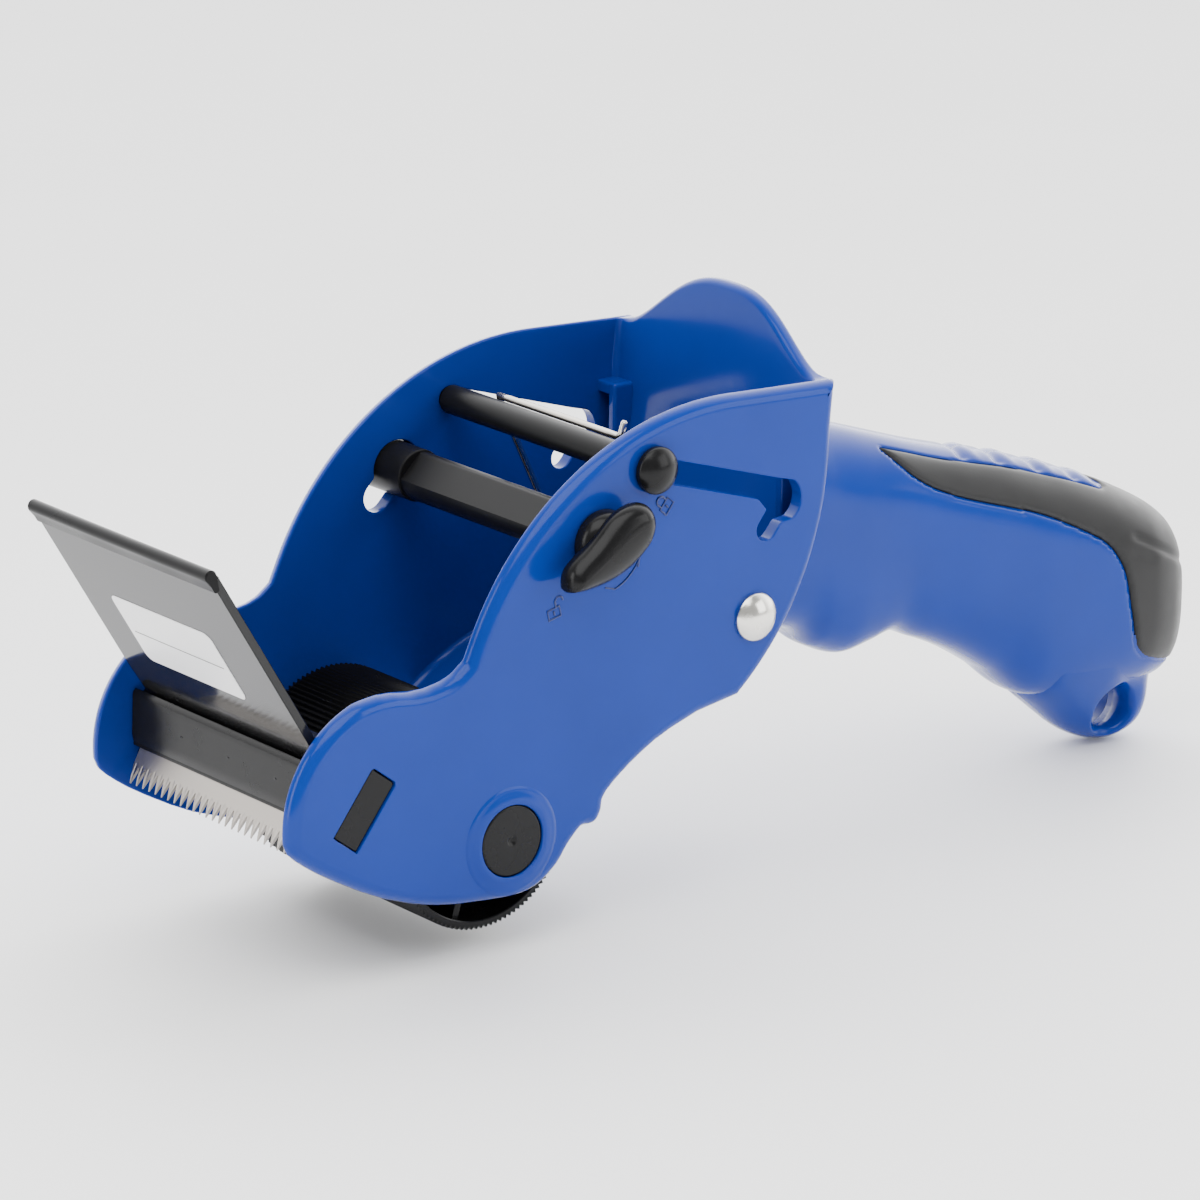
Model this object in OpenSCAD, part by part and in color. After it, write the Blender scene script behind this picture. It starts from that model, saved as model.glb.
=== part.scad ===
// Hand-held carton sealer (tape gun). +X runs from the cutting head to the handle,
// +Y away from the knob side, +Z up. The origin is on the ground line under the
// roller's axis, half-way between the two cheeks. All lengths are in millimetres.

/* [Frame] */
// Width over the two cheeks
body_w = 70; // [62:1:90]
// Thickness of the cheeks and of the rear wall
wall_t = 3.2; // [2.4:0.1:4]
// Outer radius of the rear wall, about the centre of the roll bay
bay_r = 63.2; // [61:0.1:66]
// Height of the round crest above the cheeks' rear corners
crest_h = 13.8; // [4:0.1:20]
// Radius of the raised ring round each roller plug
plug_ring_r = 9.8; // [9:0.1:12]

/* [Roller] */
// Radius over the roller's teeth
roller_r = 20.7; // [18:0.1:20.7]
// Number of teeth round the roller
roller_teeth = 108; // [60:1:120]
// Height of the teeth
tooth_h = 0.7; // [0.3:0.1:1]
// Length of the roller
roller_len = 52; // [50:1:60]
// Wall thickness of the roller's rim
rim_t = 1.2; // [1:0.1:3]
// Number of ribs between rim and hub
roller_ribs = 6; // [3:1:8]
// Radius of the steel axle
axle_r = 3; // [2:0.1:4]
// Radius of the snap-in plugs in the cheeks
plug_r = 7.26; // [5:0.01:8]

/* [Cutting head] */
// Number of teeth on the blade
blade_teeth = 27; // [15:1:30]
// Distance between blade teeth
blade_pitch = 2.2; // [1.5:0.1:2.2]
// Length of the blade teeth
blade_tooth = 3.4; // [1:0.1:4]
// Thickness of the blade
blade_t = 0.6; // [0.4:0.1:0.8]
// Width of the press flap
flap_w = 61; // [50:1:61]
// Thickness of the press flap
flap_t = 1.8; // [1.2:0.1:2]
// Length of the press flap from its hinge pin
flap_len = 52.8; // [30:0.1:55]
// Forward lean of the press flap, from vertical
flap_lean = 31.2; // [20:0.1:32]
// Width and length of the flap's label
label_size = [34, 17.4];

/* [Spindle and brake] */
// Radius of the spindle's plain middle
spindle_r = 5; // [4:0.1:5.2]
// Radius of the spindle's collars in the cheeks
collar_r = 5.4; // [5.3:0.1:6]
// Direction of the spindle's locking lug when locked, from +X towards +Z
lug_angle = 17; // [0:1:40]
// Length of the knob's wing
wing_len = 25; // [20:0.5:28]
// Radius of the brake shaft between the cheeks
shaft_r = 3; // [2.5:0.1:3.5]
// Radius of the brake shaft's necks in the slots
neck_r = 2.1; // [1.5:0.1:2.1]
// Radius of the brake shaft's domed caps
cap_r = 4.8; // [4:0.1:5.5]
// Travel of the brake shaft along its slots
slot_travel = 34; // [20:0.5:34]
// Radius of the spring wire
wire_r = 0.75; // [0.5:0.05:0.9]

/* [Handle] */
// Thickness of the handle's shells
shell_t = 2.4; // [1.6:0.1:3]
// Thickness of the soft grip insert
grip_t = 1.6; // [1:0.1:2]
// Radius of the hanging hole
hang_r = 5; // [2:0.1:5.2]
// Squareness of the handle's sections, 2 for an ellipse
section_power = 2.6; // [2:0.1:3.2]

/* [Hidden] */
$fn = 64;

eps = 0.01;
gap = 0.3;                          // running clearance between bodies
half_w = body_w / 2;
inner_w = half_w - wall_t;

// Centres in the side view, [x, z]
roller_c = [0, roller_r];
bay_c = [17, 87.9];
spindle_c = [21.3, 77.5];
shaft_c = [34.3, 89.9];
cross_pin_c = [60.3, 55.3];
flap_pin_c = [-39, 40.3];
window_c = [-34.8, 33.8];
hang_c = [183.6, 5.6];

slot_dir = -16.8;                   // slope of the brake shaft's slots
slot_half = neck_r + gap;
slot_corner_c = [67.2, 78];         // where the slots turn into their parking hooks
slot_corner_r = 4.7;
slot_hook_c = [63, 72.8];

keyway_dir = 227;                   // direction of the keyways for the lug
keyway_half = 3.2;
keyway_reach = 7.4;
lug_half = 2.7;
lug_reach = 9.8;

blue = [0.05, 0.18, 0.62];
black = [0.07, 0.07, 0.08];
steel = [0.75, 0.76, 0.78];

// ---- helpers -------------------------------------------------------------

// Points on an arc, the last one left out when closed with the next arc
function arc(c, r, a0, a1, n = 12) =
    [for (i = [0 : n]) c + r * [cos(a0 + (a1 - a0) * i / n), sin(a0 + (a1 - a0) * i / n)]];

// Turns a side-view outline into a plate from y0 to y1
module plate(y0, y1) {
    translate([0, y1, 0])
        rotate([90, 0, 0])
            linear_extrude(y1 - y0) children();
}

// A rod along Y at the side-view point c
module rod(c, r, y0, y1) {
    translate([c[0], y0, c[1]])
        rotate([-90, 0, 0])
            cylinder(r = r, h = y1 - y0);
}

// A straight round wire between two points
module wire(a, b, r) {
    d = b - a;
    length = norm(d);
    translate(a)
        rotate([0, acos(d[2] / length), atan2(d[1], d[0])])
            cylinder(r = r, h = length, $fn = 20);
}

// A round-ended bar in the side view
module bar2d(a, b, half) {
    d = b - a;
    translate(a) circle(half);
    translate(b) circle(half);
    translate(a)
        rotate(atan2(d[1], d[0]))
            translate([0, -half]) square([norm(d), 2 * half]);
}

// A domed head of radius r and height h, standing on z = 0
module dome(r, h) {
    ball = (r * r + h * h) / (2 * h);
    rotate_extrude()
        intersection() {
            translate([0, h - ball]) circle(ball, $fn = 96);
            square([r, h]);
        }
}

// ---- body frame ----------------------------------------------------------

wall_end = -50.5;                   // where the rear wall ends, seen from the bay's centre
crest_low = 99.8;

nose = arc([-27.5, 31.5], 24.6, 184, 108, 10);
brow = [[-29, 55.6], [-20.5, 54.4], [-13.5, 55.6], [-9.6, 58.5]];
top_arc = arc([52.4, 35.4], 66, 157, 88, 20);
rear_arc = arc(bay_c, bay_r, 0, wall_end, 20);
belly = [[47, 37.4], [38, 34.4], [31.6, 30.9], [23.4, 24.6], [23.4, 22.2], [22, 19.8], [20.3, 19.3],
         [18.4, 19.7], [16.6, 18.2], [14.6, 16.1], [12.8, 13.4], [10.2, 11.2], [7.7, 9.6]];
keel = [[4.3, 8.6], [0, 8.5], [-4, 8.8], [-10.8, 9.4], [-15, 10], [-19.1, 10.9], [-23.2, 12.1],
        [-31.4, 15.1], [-43.1, 21.5], [-49, 25.6], [-51.2, 27.7]];

module cheek_outline() {
    polygon(concat(nose, brow, top_arc, [[81.2, 100.2]], rear_arc, belly, keel));
}

module slot_outline() {
    travel = slot_travel * [cos(slot_dir), sin(slot_dir)];
    bar2d(shaft_c, shaft_c + travel, slot_half);
    translate(slot_corner_c) circle(slot_corner_r);
    bar2d(slot_corner_c, slot_hook_c, slot_half);
}

module keyhole_outline() {
    reach = keyway_reach * [cos(keyway_dir), sin(keyway_dir)];
    notch = 9.3;
    notch_w = 1.6;
    translate(spindle_c) circle(collar_r + gap);
    bar2d(spindle_c, spindle_c + reach, keyway_half);
    translate(spindle_c)
        rotate(lug_angle + 18) translate([0, -notch_w / 2]) square([notch, notch_w]);
}

module window_outline(grow = 0) {
    translate(window_c)
        rotate(53) square([15.2 + 2 * grow, 6.6 + 2 * grow], center = true);
}

module cheek(side) {
    y0 = side < 0 ? -half_w : inner_w;
    ring_y = side < 0 ? -half_w - 0.6 : inner_w;
    difference() {
        union() {
            plate(y0, y0 + wall_t) cheek_outline();
            rod(roller_c, plug_ring_r, ring_y, ring_y + wall_t + 0.6);
        }
        plate(y0 - 1, y0 + wall_t + 1) {
            slot_outline();
            keyhole_outline();
            window_outline(0.1);
        }
        rod(roller_c, plug_r + 0.05, -half_w - 2, half_w + 2);
        rod(cross_pin_c, 2.55, -half_w - 2, half_w + 2);
    }
}

// Height of the rear wall's top edge at the distance y from the middle
function crest(y) = crest_low + crest_h * (1 + cos(180 * pow(abs(y) / inner_w, 1.35))) / 2;

// Curved wall between the cheeks, from its foot behind the roller up to the crest
module rear_wall() {
    steps = 24;
    top = [82.9, 115];
    half = inner_w + 0.5;
    intersection() {
        plate(-half, half)
            polygon(concat(
                [[27, 27.7], [31.6, 31], [38, 34.5], [47, 37.5]],
                arc(bay_c, bay_r - 0.1, wall_end, 0, 24),
                [top, top - [wall_t, 0]],
                arc(bay_c, bay_r - wall_t, 0, wall_end, 24),
                [[46.3, 40.6], [36.9, 37.6], [29.7, 33.7], [25.1, 30.4]]));
        rotate([90, 0, 90])
            linear_extrude(120)
                polygon(concat(
                    [[half, 0], [half, crest_low]],
                    [for (i = [0 : steps]) let (y = inner_w * (1 - 2 * i / steps)) [y, crest(y)]],
                    [[-half, crest_low], [-half, 0]]));
    }
}

// Tongue behind the rear wall that the two handle shells clamp
module spigot() {
    difference() {
        translate([72, -6, 53]) cube([36, 12, 22]);
        rod(bay_c, bay_r - 0.5, -10, 10);
        rod([98, 64], 1.6, -10, 10);
    }
}

// Catch in the corner between cheek and rear wall: an upright plate with a top flange
module catch(side) {
    low_y = 26;
    plate_t = 2.2;
    for (part = [[71, 17, plate_t], [85.8, plate_t, inner_w - low_y + 0.2]])
        translate([72.3, side < 0 ? -low_y - part[2] : low_y, part[0]])
            cube([6, part[2], part[1]]);
}

module body_frame() {
    color(blue) {
        for (side = [-1, 1]) {
            cheek(side);
            catch(side);
        }
        rear_wall();
        spigot();
    }
}

// ---- handle --------------------------------------------------------------

// Handle sections: [x, lowest z, highest z, half width]
sections = [
    [62, 47, 95, 15.5], [80, 42, 89.3, 15.2], [95, 38.5, 84.3, 14.6], [101, 33.6, 82.3, 14.3],
    [108.5, 31, 80, 14], [114, 31.9, 78.2, 13.7], [121, 33.4, 75.9, 13.5], [129, 30.6, 73.3, 13.7],
    [138.7, 26.2, 70.5, 14.2], [149.3, 19.9, 67.8, 14.6], [160, 12.2, 64.4, 15], [168, 10.4, 61.7, 15],
    [178, 9.8, 57.7, 15], [188, 9.4, 53, 14.6], [195, 9.9, 49, 13], [200, 12, 44.5, 10],
    [203, 17, 38, 6], [204.2, 23, 33, 3]
];
section_steps = 14;                 // points up each side of a section
cavity_first = 1;
cavity_last = 10;

function bulge(c) = sign(c) * pow(abs(c), 2 / section_power);

// One half section: points from bottom to top on the given side, inset by cut
function half_section(s, side, cut, lift) =
    let (mid = (s[1] + s[2]) / 2, h = (s[2] - s[1]) / 2 - cut, w = s[3] - cut)
    [for (j = [0 : section_steps])
        let (t = -90 + 180 * j / section_steps)
        [s[0], side * (w * bulge(cos(t)) - lift), mid + h * bulge(sin(t))]];

// Loft through half sections, closed along the middle plane
module half_loft(rows, side, cut = 0, lift = 0) {
    n = section_steps + 1;
    last = len(rows) - 1;
    points = [for (s = rows) each half_section(s, side, cut, lift)];
    walls = [for (i = [0 : last - 1]) for (j = [0 : n - 1])
        let (a = i * n + j, b = i * n + (j + 1) % n, c = a + n, d = b + n)
        each [[a, c, b], [b, c, d]]];
    ends = [[for (j = [0 : n - 1]) j], [for (j = [n - 1 : -1 : 0]) last * n + j]];
    faces = concat(walls, ends);
    polyhedron(points, side > 0 ? faces : [for (f = faces) [for (k = [len(f) - 1 : -1 : 0]) f[k]]]);
}

// Side view of the grip insert: a pad over the rear with a wing along each side
module grip_outline(grow = 0) {
    offset(delta = grow)
        polygon([[113.5, 77.2], [118.1, 72.2], [122.3, 68.2], [127, 65.2], [134.3, 62.2], [148.1, 57.9],
                 [156.2, 55.2], [167.8, 49.7], [172.9, 46.9], [175.5, 44.7], [177.6, 41.8],
                 [179.2, 38.8], [180.3, 34.5], [182.3, 26.1], [183.2, 21.6], [184.2, 20.1],
                 [188.1, 17.4], [193.9, 15.7], [208, 13], [208, 60], [160, 84], [113.5, 84]]);
}

// The blue strip that stays free on top of the handle, as a plan view
module grip_strip(grow = 0) {
    half = 8 - grow;
    translate([90, -half, 40]) cube([82, 2 * half, 60]);
    translate([172, 0, 40]) cylinder(r = half, h = 60);
}

module grip_band(side, depth, grow) {
    difference() {
        intersection() {
            difference() {
                half_loft(sections, side);
                half_loft(sections, side, depth, -eps);
            }
            plate(-20, 20) grip_outline(grow);
        }
        grip_strip(grow);
    }
}

// Thin tab under the handle's end, with the hanging hole
module hang_tab(side) {
    plate(side < 0 ? -tab_half : 0, side < 0 ? 0 : tab_half)
        polygon([[162, 20], [162, 10.6], [164.5, 8.7], [169.4, 4.6], [172.6, 2], [175.8, 0], [179, -1.5],
                 [182.6, -2.6], [185.8, -3], [189, -2.5], [191.8, -1.5], [194.1, 0.2], [195.8, 2.6],
                 [197, 5.4], [197.4, 9], [197.4, 20]]);
}

module handle_shell(side) {
    cavity = [for (i = [cavity_first : cavity_last]) sections[i]];
    color(blue)
        difference() {
            union() {
                half_loft(sections, side);
                hang_tab(side);
            }
            half_loft(cavity, side, shell_t + grip_t, -eps);
            grip_band(side, grip_t + 0.05, 0.05);
            rod(bay_c, bay_r + 0.02, -20, 20);
            translate([60, -20, bay_c[1]]) cube([20.6, 40, 20]);
            translate([60, -6.02, 52.98]) cube([48.1, 12.04, 22.04]);
            rod(hang_c, hang_r, -20, 20);
            translate([hang_c[0], side * hang_half, hang_c[1]])
                rotate([-90 * side, 0, 0]) cylinder(r1 = hang_r, r2 = hang_r + 1.8, h = 4.5);
            for (c = screw_places) {
                rod(c, 1.6, -20, 20);
                if (side > 0) rod(c, 3.1, screw_seat, 20);
            }
        }
}

tab_half = 7.5;
hang_half = 3.5;                    // half length of the hanging hole's straight part
screw_places = [[98, 64], [128, 46], [172, 24]];
screw_seat = 8;

module handle_near_shell() handle_shell(-1);
module handle_far_shell() handle_shell(1);

module grip_insert() {
    color(black)
        for (side = [-1, 1]) grip_band(side, grip_t, 0);
}

module handle_screws() {
    color(steel)
        for (c = screw_places) {
            rod(c, 1.5, -6, screw_seat);
            difference() {
                rod(c, 2.9, screw_seat, screw_seat + 1.8);
                translate([c[0], screw_seat + 1.4, c[1]])
                    cube([3.4, 1, 0.8], center = true);
            }
        }
}

// ---- roller --------------------------------------------------------------

hub_r = 6.5;
hub_bore = axle_r + 0.05;

module roller() {
    root_r = roller_r - tooth_h;
    lean = 0.72;                    // share of the pitch before a tooth's tip
    rim_r = root_r - rim_t;
    pitch = 360 / roller_teeth;
    teeth = [for (i = [0 : roller_teeth - 1]) each [
        root_r * [cos(i * pitch), sin(i * pitch)],
        roller_r * [cos((i + lean) * pitch), sin((i + lean) * pitch)]]];
    color(black)
        translate([roller_c[0], roller_len / 2, roller_c[1]])
            rotate([90, 0, 0]) {
                linear_extrude(roller_len)
                    difference() {
                        polygon(teeth);
                        circle(rim_r, $fn = 120);
                    }
                translate([0, 0, 2])
                    linear_extrude(roller_len - 4)
                        difference() {
                            union() {
                                circle(hub_r);
                                for (k = [0 : roller_ribs - 1])
                                    rotate(-107 + k * 360 / roller_ribs)
                                        translate([0, -0.8]) square([rim_r + 0.3, 1.6]);
                            }
                            circle(hub_bore);
                        }
            }
}

module roller_axle() {
    color(steel) rod(roller_c, axle_r, -inner_w - 1, inner_w + 1);
}

module roller_plug(side) {
    // disc in the cheek, collar that keeps the roller central, and a centre dimple
    disc_y = [inner_w, half_w + 0.3];
    boss_y = [roller_len / 2 + gap, inner_w];
    color(black)
        scale([1, side, 1])
            difference() {
                union() {
                    rod(roller_c, plug_r, disc_y[0], disc_y[1]);
                    rod(roller_c, hub_r, boss_y[0], boss_y[1] + eps);
                }
                rod(roller_c, axle_r, 0, inner_w + 1);
                translate([roller_c[0], half_w + 1.2, roller_c[1]]) sphere(1.6, $fn = 32);
            }
}

module roller_plug_near() roller_plug(-1);
module roller_plug_far() roller_plug(1);

// ---- cutting head --------------------------------------------------------

blade_low = [-46.3, 24.6];          // tips of the blade's teeth
blade_dir = 62.2;                   // slope of the blade, from +X
holder_w = inner_w - 0.1;
cheek_lug = 2.2;                    // end lugs of the holder that carry the flap's pin
groove_r = 2.9;

function on_blade(s, off) = blade_low
    + s * [cos(blade_dir), sin(blade_dir)]
    + off * [-sin(blade_dir), cos(blade_dir)];

module flap_groove() {
    reach = holder_w - cheek_lug;
    rod(flap_pin_c, groove_r, -reach, reach);
    translate([flap_pin_c[0] - groove_r, -reach, flap_pin_c[1]])
        cube([2 * groove_r, 2 * reach, 10]);
}

module blade_holder() {
    color(black)
        difference() {
            union() {
                plate(-holder_w, holder_w)
                    polygon([on_blade(4, -blade_t / 2), on_blade(14.6, -blade_t / 2), [-39.3, 43.2],
                             [-36, 44.2], [-31.5, 43.6], [-26.8, 37.7], [-36.2, 25.3]]);
                plate(-half_w + 0.4, half_w - 0.4) window_outline();
            }
            flap_groove();
            rod(flap_pin_c, 1.25, -holder_w - 1, holder_w + 1);
            for (y = blade_screw_y) blade_screw_hole(y);
        }
}

module blade_clamp() {
    color(black)
        difference() {
            plate(-holder_w + cheek_lug + 0.2, holder_w - cheek_lug - 0.2)
                polygon([[-43.4, 31.2], [-43.4, 43], [-41.2, 43], on_blade(14.4, blade_t / 2),
                         on_blade(7.1, blade_t / 2)]);
            flap_groove();
            for (y = blade_screw_y) blade_screw_hole(y);
        }
}

blade_screw_y = [-20, 0, 20];
blade_screw_s = 11;

// The blade's screws run square to it, with their heads behind the holder
module on_screw(y, depth) {
    p = on_blade(blade_screw_s, 0);
    translate([p[0], y, p[1]])
        rotate([0, 180 - blade_dir, 0])
            translate([0, 0, depth]) children();
}

module blade_screw_hole(y) {
    on_screw(y, -1.8) cylinder(r = 1.1, h = 20);
    on_screw(y, 6) cylinder(r = 2.1, h = 14);
}

module cutter_blade() {
    length = blade_teeth * blade_pitch;
    height = 13.6;
    color(steel)
        difference() {
            translate([blade_low[0], -length / 2, blade_low[1]])
                rotate([0, -blade_dir, 0])
                    translate([0, 0, -blade_t / 2])
                        linear_extrude(blade_t)
                            polygon(concat(
                                [for (i = [0 : blade_teeth - 1]) each [
                                    [blade_tooth, i * blade_pitch],
                                    [0, (i + 0.5) * blade_pitch]]],
                                [[blade_tooth, length], [height, length], [height, 0]]));
            for (y = blade_screw_y) blade_screw_hole(y);
        }
}

module blade_screws() {
    color(steel)
        for (y = blade_screw_y) {
            on_screw(y, -1.5) cylinder(r = 1, h = 7.5);
            on_screw(y, 6) cylinder(r = 1.9, h = 1.4);
        }
}

// Everything on the flap is drawn upright over its pin, then leaned forward
module on_flap() {
    translate([flap_pin_c[0], 0, flap_pin_c[1]])
        rotate([0, -flap_lean, 0]) children();
}

barrel_r = 2.5;
spring_half = 6;                    // half width of the gap for the flap's spring

module press_flap() {
    foot = 3.8;                     // where the plate widens, clear of the holder's lugs
    barrel_half = holder_w - cheek_lug - gap;
    color(black)
        on_flap()
            difference() {
                union() {
                    rod([0, 0], barrel_r, -barrel_half, barrel_half);
                    translate([-flap_t / 2, -barrel_half, 0]) cube([flap_t, 2 * barrel_half, foot]);
                    translate([-flap_t / 2, -flap_w / 2, foot - eps])
                        cube([flap_t, flap_w, flap_len - foot]);
                    rod([-0.3, flap_len - 0.4], 1.2, -flap_w / 2, flap_w / 2);
                    rod([-1.3, flap_len - 2.6], 1.5, -flap_w / 2, flap_w / 2);
                }
                rod([0, 0], 1.05, -flap_w, flap_w);
                translate([-4, -spring_half, -4]) cube([8, 2 * spring_half, 7.6]);
            }
}

module flap_pin() {
    color(steel) rod(flap_pin_c, 1, -holder_w + 0.1, holder_w - 0.1);
}

module ring_coil(c, r, wire_radius, y0, turns, pitch) {
    for (k = [0 : turns - 1])
        translate([c[0], y0 + k * pitch, c[1]])
            rotate([90, 0, 0])
                rotate_extrude($fn = 48) translate([r, 0]) circle(wire_radius, $fn = 16);
}

module flap_spring() {
    coil = 1.6;
    color(steel) {
        ring_coil(flap_pin_c, coil, 0.35, -2.4, 8, 0.68);
        on_flap() wire([coil, -2.6, 0], [1.25, -2.6, 6.5], 0.35);
        wire([flap_pin_c[0] + coil, 2.4, flap_pin_c[1]], [-36.6, 2.4, 43.6], 0.35);
    }
}

module flap_label() {
    color("white")
        on_flap()
            translate([-flap_t / 2, 1.7, 24.3])
                rotate([0, -90, 0])
                    linear_extrude(0.2)
                        union() {
                            square([label_size[1], label_size[0] - 4], center = true);
                            square([label_size[1] - 4, label_size[0]], center = true);
                            for (a = [-1, 1], b = [-1, 1])
                                translate([a * (label_size[1] / 2 - 2), b * (label_size[0] / 2 - 2)])
                                    circle(2);
                        }
}

// ---- spindle -------------------------------------------------------------

module spindle_bar() {
    flat = 3.6;                     // distance of the flat from the axis
    lug_t = 2.6;
    color(black) {
        difference() {
            rod(spindle_c, spindle_r, -inner_w + 6, inner_w - 8);
            translate([spindle_c[0], 0, spindle_c[1]])
                rotate([0, -45, 0])
                    translate([-10, -inner_w, flat]) cube([20, 2 * inner_w, 10]);
        }
        rod(spindle_c, collar_r, -half_w - gap, -inner_w + 6 + eps);
        rod(spindle_c, collar_r, inner_w - 8 - eps, half_w + gap + lug_t);
        plate(half_w + gap, half_w + gap + lug_t)
            translate(spindle_c)
                rotate(lug_angle) {
                    translate([0, -lug_half]) square([lug_reach - lug_half, 2 * lug_half]);
                    translate([lug_reach - lug_half, 0]) circle(lug_half);
                }
    }
}

module spindle_knob() {
    hub = 6.4;
    tilt = 35.6;
    front = -half_w - 8.6;
    color(black) {
        rod(spindle_c, hub, -half_w - 4, -half_w - gap);
        plate(front, front + 6)
            translate(spindle_c)
                rotate(tilt) hull() {
                    translate([wing_len / 2 - 6.2, 0.6]) circle(4.8, $fn = 32);
                    translate([-1, 0]) circle(6.4, $fn = 32);
                    translate([-wing_len / 2 + 0.6, -0.9]) circle(1.4, $fn = 32);
                }
    }
}

// ---- brake shaft ---------------------------------------------------------

module brake_shaft() {
    body_half = inner_w - 0.6;
    color(black) {
        rod(shaft_c, shaft_r, -body_half, body_half);
        rod(shaft_c, neck_r, -half_w - 2, half_w + 2);
    }
}

module shaft_cap(side) {
    color(black)
        scale([1, side, 1])
            difference() {
                translate([shaft_c[0], half_w + gap, shaft_c[1]])
                    rotate([-90, 0, 0]) {
                        cylinder(r = cap_r, h = 1.4);
                        translate([0, 0, 1.4 - eps]) dome(cap_r, 2.2);
                    }
                rod(shaft_c, neck_r, 0, half_w + 2);
            }
}

module shaft_cap_near() shaft_cap(-1);
module shaft_cap_far() shaft_cap(1);

// Torsion spring: coils round the cross pin, one leg, and a rod along the brake shaft
module brake_spring() {
    coil_r = 4.7;
    turns = 4;
    leg_y = 19.5;
    rod_end = -21;
    top = [shaft_c[0] + 2.9, shaft_c[1] + 2.9];
    leg_end = cross_pin_c + coil_r * [cos(200), sin(200)];
    last_y = leg_y + turns * 2 * wire_r;
    color(steel) {
        rod(top, wire_r, rod_end, leg_y);
        translate([top[0], leg_y, top[1]]) sphere(wire_r + 0.05, $fn = 20);
        translate([top[0], rod_end, top[1]]) sphere(wire_r + 0.05, $fn = 20);
        wire([top[0], rod_end, top[1]], [top[0] + 0.8, rod_end, top[1] + 2.6], wire_r);
        wire([top[0], leg_y, top[1]], [leg_end[0], leg_y, leg_end[1]], wire_r);
        ring_coil(cross_pin_c, coil_r, wire_r, leg_y, turns, 2 * wire_r * 0.98);
        wire([cross_pin_c[0], last_y - 2 * wire_r, cross_pin_c[1] - coil_r],
             [cross_pin_c[0] + 2.2, last_y - 2 * wire_r, cross_pin_c[1] - coil_r + 0.3], wire_r);
    }
}

// ---- cross pin -----------------------------------------------------------

module cross_pin() {
    color(steel) {
        rod(cross_pin_c, 2.5, -half_w, half_w + 2.4);
        translate([cross_pin_c[0], -half_w, cross_pin_c[1]])
            rotate([90, 0, 0]) {
                cylinder(r = 5, h = 0.6);
                translate([0, 0, 0.6 - eps]) dome(5, 2.4);
            }
    }
}

module cross_pin_cap() {
    color(steel)
        difference() {
            translate([cross_pin_c[0], half_w, cross_pin_c[1]])
                rotate([-90, 0, 0]) {
                    cylinder(r = 5, h = 1);
                    translate([0, 0, 1 - eps]) dome(5, 2.4);
                }
            rod(cross_pin_c, 2.5, 0, half_w + 2.4);
        }
}

module spacer_tube() {
    color(black)
        difference() {
            rod(cross_pin_c, 3.7, -inner_w, inner_w);
            rod(cross_pin_c, 2.55, -inner_w - 1, inner_w + 1);
        }
}

body_frame();
handle_near_shell();
handle_far_shell();
grip_insert();
handle_screws();
roller();
roller_axle();
roller_plug_near();
roller_plug_far();
blade_holder();
blade_clamp();
cutter_blade();
blade_screws();
press_flap();
flap_pin();
flap_spring();
flap_label();
spindle_bar();
spindle_knob();
brake_shaft();
shaft_cap_near();
shaft_cap_far();
brake_spring();
cross_pin();
cross_pin_cap();
spacer_tube();
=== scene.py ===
import math

import bmesh
import bpy
from mathutils import Matrix, Vector, geometry


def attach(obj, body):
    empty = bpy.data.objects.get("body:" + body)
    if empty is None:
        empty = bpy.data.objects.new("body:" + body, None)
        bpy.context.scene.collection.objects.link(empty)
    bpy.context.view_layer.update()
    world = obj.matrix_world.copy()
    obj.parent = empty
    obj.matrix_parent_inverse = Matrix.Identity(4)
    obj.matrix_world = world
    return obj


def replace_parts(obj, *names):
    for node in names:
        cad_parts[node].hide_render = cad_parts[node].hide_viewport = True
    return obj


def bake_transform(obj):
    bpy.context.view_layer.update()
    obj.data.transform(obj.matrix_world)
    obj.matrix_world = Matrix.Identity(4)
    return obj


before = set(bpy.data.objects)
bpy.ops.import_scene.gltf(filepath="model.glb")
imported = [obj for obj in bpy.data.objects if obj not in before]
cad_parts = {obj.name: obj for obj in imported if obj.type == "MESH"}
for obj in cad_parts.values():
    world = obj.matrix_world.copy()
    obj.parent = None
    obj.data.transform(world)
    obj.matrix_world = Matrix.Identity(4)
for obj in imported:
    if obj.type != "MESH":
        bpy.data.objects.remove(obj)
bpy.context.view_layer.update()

MM = 0.001
NEAR, FAR = -1, 1

# Main sizes, in millimetres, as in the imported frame
HALF_W, WALL = 35.0, 3.2
INNER = HALF_W - WALL
ROLLER_C, ROLLER_R, ROLLER_HALF = (0.0, 20.7), 20.7, 26.0
BAY_C, BAY_R = (17.0, 87.9), 63.2
SPINDLE_C, SHAFT_C, PIN_C = (21.3, 77.5), (34.3, 89.9), (60.3, 55.3)
FLAP_C, FLAP_LEAN, FLAP_LEN, FLAP_W, FLAP_T = (-39.0, 40.3), 31.2, 52.8, 61.0, 1.8
SLOT_DIR, SLOT_TRAVEL = -16.8, 34.0


# ---- helpers

def rad(a):
    return math.radians(a)


def unit(a):
    """Side-view direction at the angle a, in degrees."""
    return Vector((math.cos(rad(a)), math.sin(rad(a))))


def arc(c, r, a0, a1, n=12):
    return [(c[0] + r * math.cos(rad(a0 + (a1 - a0) * i / n)),
             c[1] + r * math.sin(rad(a0 + (a1 - a0) * i / n))) for i in range(n + 1)]


def chaikin(pts, turns=1, closed=True):
    for _ in range(turns):
        out, n = [], len(pts)
        for i in range(n if closed else n - 1):
            a, b = pts[i], pts[(i + 1) % n]
            out += [(a[0] * .75 + b[0] * .25, a[1] * .75 + b[1] * .25),
                    (a[0] * .25 + b[0] * .75, a[1] * .25 + b[1] * .75)]
        pts = out if closed else [pts[0]] + out + [pts[-1]]
    return pts


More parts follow.
